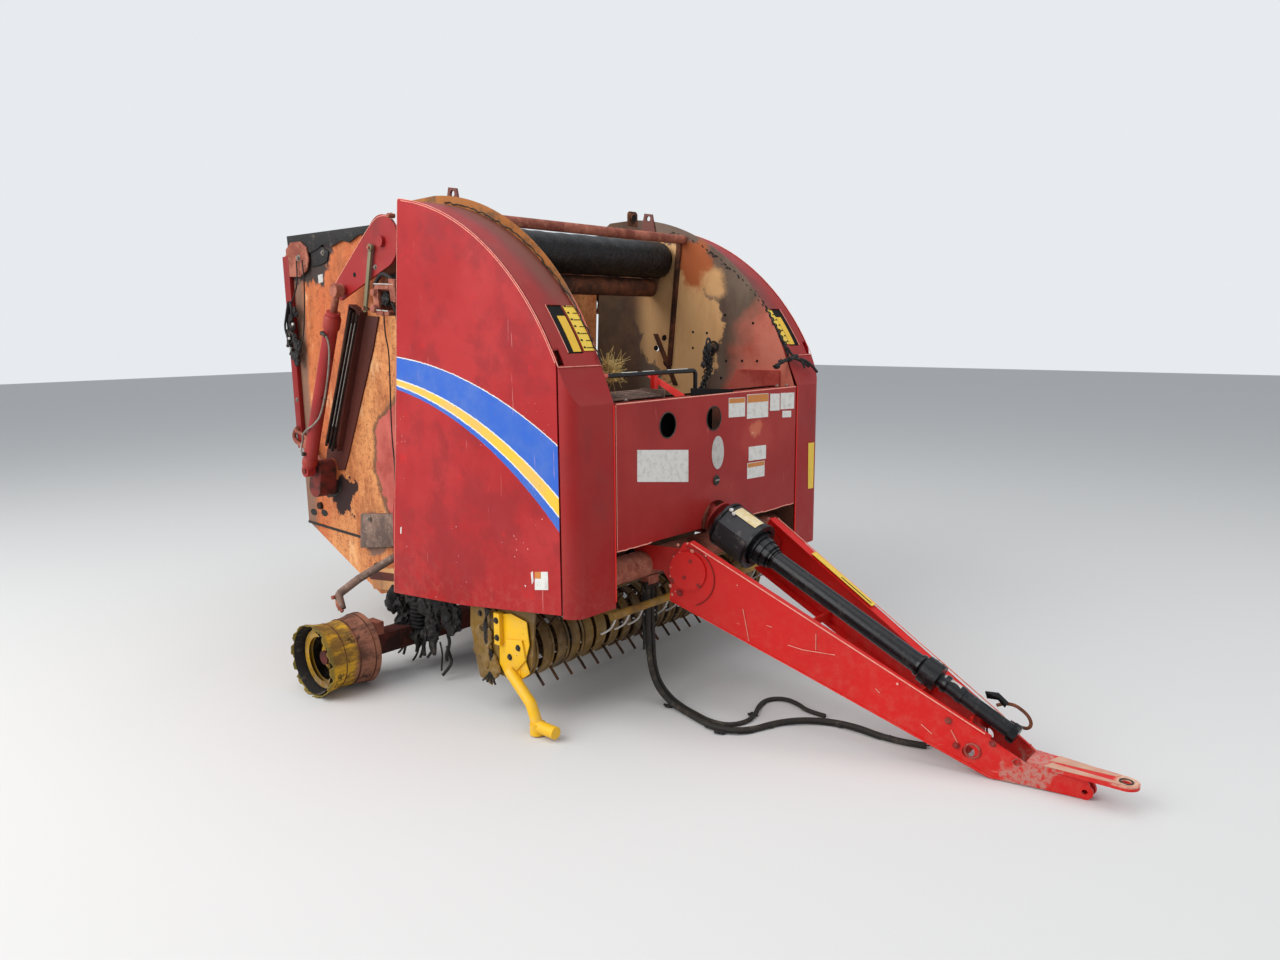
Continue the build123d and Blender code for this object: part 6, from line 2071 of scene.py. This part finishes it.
@dataclass
class Driveline(Assembly):
    """Rings, stickers, brush collar and hanging chain of the driveline."""

    body: str = "driveline"
    pitch: float = math.radians(25.2)
    foot: float = 745
    lips: tuple[Outline, ...] = (((224, 90), (224, 102), (236, 102), (236, 80)),
                                 ((56, 90), (56, 101), (66, 101), (66, 90)))
    rings: tuple[tuple[int, Outline], ...] = (
        (36, ((1012, 36), (1012, 42), (1022, 44), (1028, 40), (1034, 44), (1044, 42), (1044, 36))),
        (36, ((1386, 26), (1386, 36), (1404, 37), (1412, 34), (1412, 18), (1396, 18))),
        (32, ((1120, 26), (1120, 33), (1132, 34), (1138, 30), (1138, 26))))
    collar: Outline = ((1046, 30), (1048, 46), (1062, 50), (1080, 47), (1098, 40), (1100, 27))
    bristles: int = 90
    bristle_root: float = 44
    bristle_turn: float = 2.399
    hook: Outline = ((1144, 256), (1190, 262), (1226, 236), (1216, 214), (1190, 236), (1152, 232))
    loop: tuple[Place, ...] = ((1186, 48, 214), (1226, 58, 236), (1290, 60, 206), (1308, 56, 168),
                               (1282, 50, 150), (1236, 48, 168))
    wires: tuple[tuple[float, tuple[Place, ...]], ...] = (
        (5, ((-112, -344, 500), (-108, -350, 440), (-118, -342, 380), (-106, -346, 300), (-112, -340, 230))),
        (4, ((-108, -266, 500), (-114, -262, 450), (-104, -268, 390), (-110, -262, 330))),
        (4, ((-100, -338, 505), (-80, -346, 530), (-96, -350, 470), (-104, -352, 400))))

    def place(self, step: float, across: float = 0.0, up: float = 0.0) -> Place:
        """Return a place along the driveline.

        Args:
            step: Distance from the gearbox face.
            across: Distance to the left.
            up: Distance off the axis, upward.

        Returns:
            The place.
        """
        level, fall = math.cos(self.pitch), math.sin(self.pitch)
        return step * level + up * fall, across, self.foot - step * fall + up * level

    def about(self, step: float, radius: float, angle: float) -> Place:
        """Return a place about the driveline's axis, at an angle from the left in degrees."""
        turn = math.radians(angle)
        return self.place(step, radius * math.cos(turn), abs(radius) * math.sin(turn))

    def lathe(self, profile: Sequence[Point], sides: int = 40, rough: float = 0.0,
              scale: float = 20.0) -> Piece:
        """Return a piece turned about the driveline's axis."""
        axis = Vector((math.cos(self.pitch), 0, -math.sin(self.pitch)))
        return self.turned(profile, self.place(0), axis, sides, rough, scale)

    def dress(self) -> None:
        """Model what turns with the driveline, and then what stays on the frame."""
        neck = [(232, 40), (234, 66)]
        for step in range(8):
            start, crest, root = 236 + 11 * step, 64 - 2.6 * step, 56 - 2.4 * step
            neck += [(start, crest), (start + 7, crest), (start + 8, root)]
        self.finish("neck_bellows", "gloss_black", "black_plastic", self.lathe([*neck, (330, 40)]), smooth=30)
        self.finish("bell_lips", "plastic", "black_plastic", *map(self.lathe, self.lips), smooth=30)
        rings = [self.lathe(profile, sides) for sides, profile in self.rings]
        self.finish("tube_rings", "gloss_black", "black_plastic", *rings, smooth=30)
        self.finish("burnt_collar", "char_dull", "burnt_rubber", self.lathe(self.collar, 60, 8, 120),
                    *self.brush(random.Random(4)))
        smear = self.skin(lambda u, v: self.about(1112 + 70 * u, 28.2, 60 + 50 * v + 10 * math.sin(7 * u)),
                          10, 6, 0.6)
        sticker = self.skin(lambda u, v: self.about(92 + 118 * u, -99.5, 62 + 34 * v), 8, 10, 0.8)
        self.finish("tube_smear", "film_grey", "black_plastic", smear)
        self.finish("bell_sticker", "film_pale_yellow", "black_plastic", sticker)
        blobs = [self.lump(self.place(78, -44, 90), (10, 9, 8), 0.4, 60),
                 self.lump(self.place(98, -52, 86), (8, 8, 8), 0.4, 60)]
        self.finish("bell_blobs", "film_white", "bright_steel", *blobs)
        self.body = "frame"
        self.finish("support_hook", "gloss_black", "black_plastic", *self.cut(42, 50, self.hook), edge=1.5)
        self.finish("driveline_loop", "rust", "rusted_steel", self.tube(self.loop, 6, 3))
        corner = [self.box((-92, -66, 700), (-16, -20, 812)),
                  self.rod((-40, -44, 800), (-40, -44, 842), 13, 14)]
        self.finish("gearbox_corner", "rust_pink", "rusted_steel", *corner, edge=4)
        pin = self.rod((-40, -44, 840), (-40, -44, 862), 9, 14)
        self.finish("gearbox_pin", "film_grey", "bright_steel", pin)
        clip = [self.box((-126, -340, 486), (-92, -268, 512)),
                self.rod((-110, -304, 500), (-110, -304, 560), 9)]
        self.finish("hose_clip", "rust_dark", "burnt_steel", *clip, edge=1.5)
        wires = [self.tube(wire, size) for size, wire in self.wires]
        self.finish("burnt_wires", "char_dull", "burnt_rubber", *wires)

    def brush(self, chance: random.Random) -> list[Piece]:
        """Return the collar's burnt bristles.

        Args:
            chance: The random draws.

        Returns:
            The bristles.
        """
        middle = self.spot(self.place(1070))
        bristles = []
        for step in range(self.bristles):
            angle = step * self.bristle_turn
            across, up = self.bristle_root * math.cos(angle), self.bristle_root * math.sin(angle)
            root = self.spot(self.place(1052 + chance.uniform(0, 40), across, up))
            tip = root + (root - middle).normalized() * chance.uniform(0.004, 0.014)
            bristles.append(self.rod(root, tip, 1.8, 4, 0.8))
        return bristles


def main() -> None:
    """Load the frame, dress the machine and set the scene."""
    logging.basicConfig(level=logging.INFO, format="%(message)s")
    for piece in list(bpy.data.objects):
        bpy.data.objects.remove(piece)
    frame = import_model()
    finishes = Finishes()
    finishes.paint(frame["nodes"])
    for assembly in (SideShields, Fenders, FrontPanel, NetFrame, Chamber, TakeupGear, LatchGear, Tailgate,
                     Cylinders, RunningGear, Pickup, Tongue, Driveline, Strands, Hoses):
        assembly(finishes).dress()
    bpy.data.objects.remove(Assembly.bolt_head)
    Studio().build()


if __name__ == "__main__":
    main()
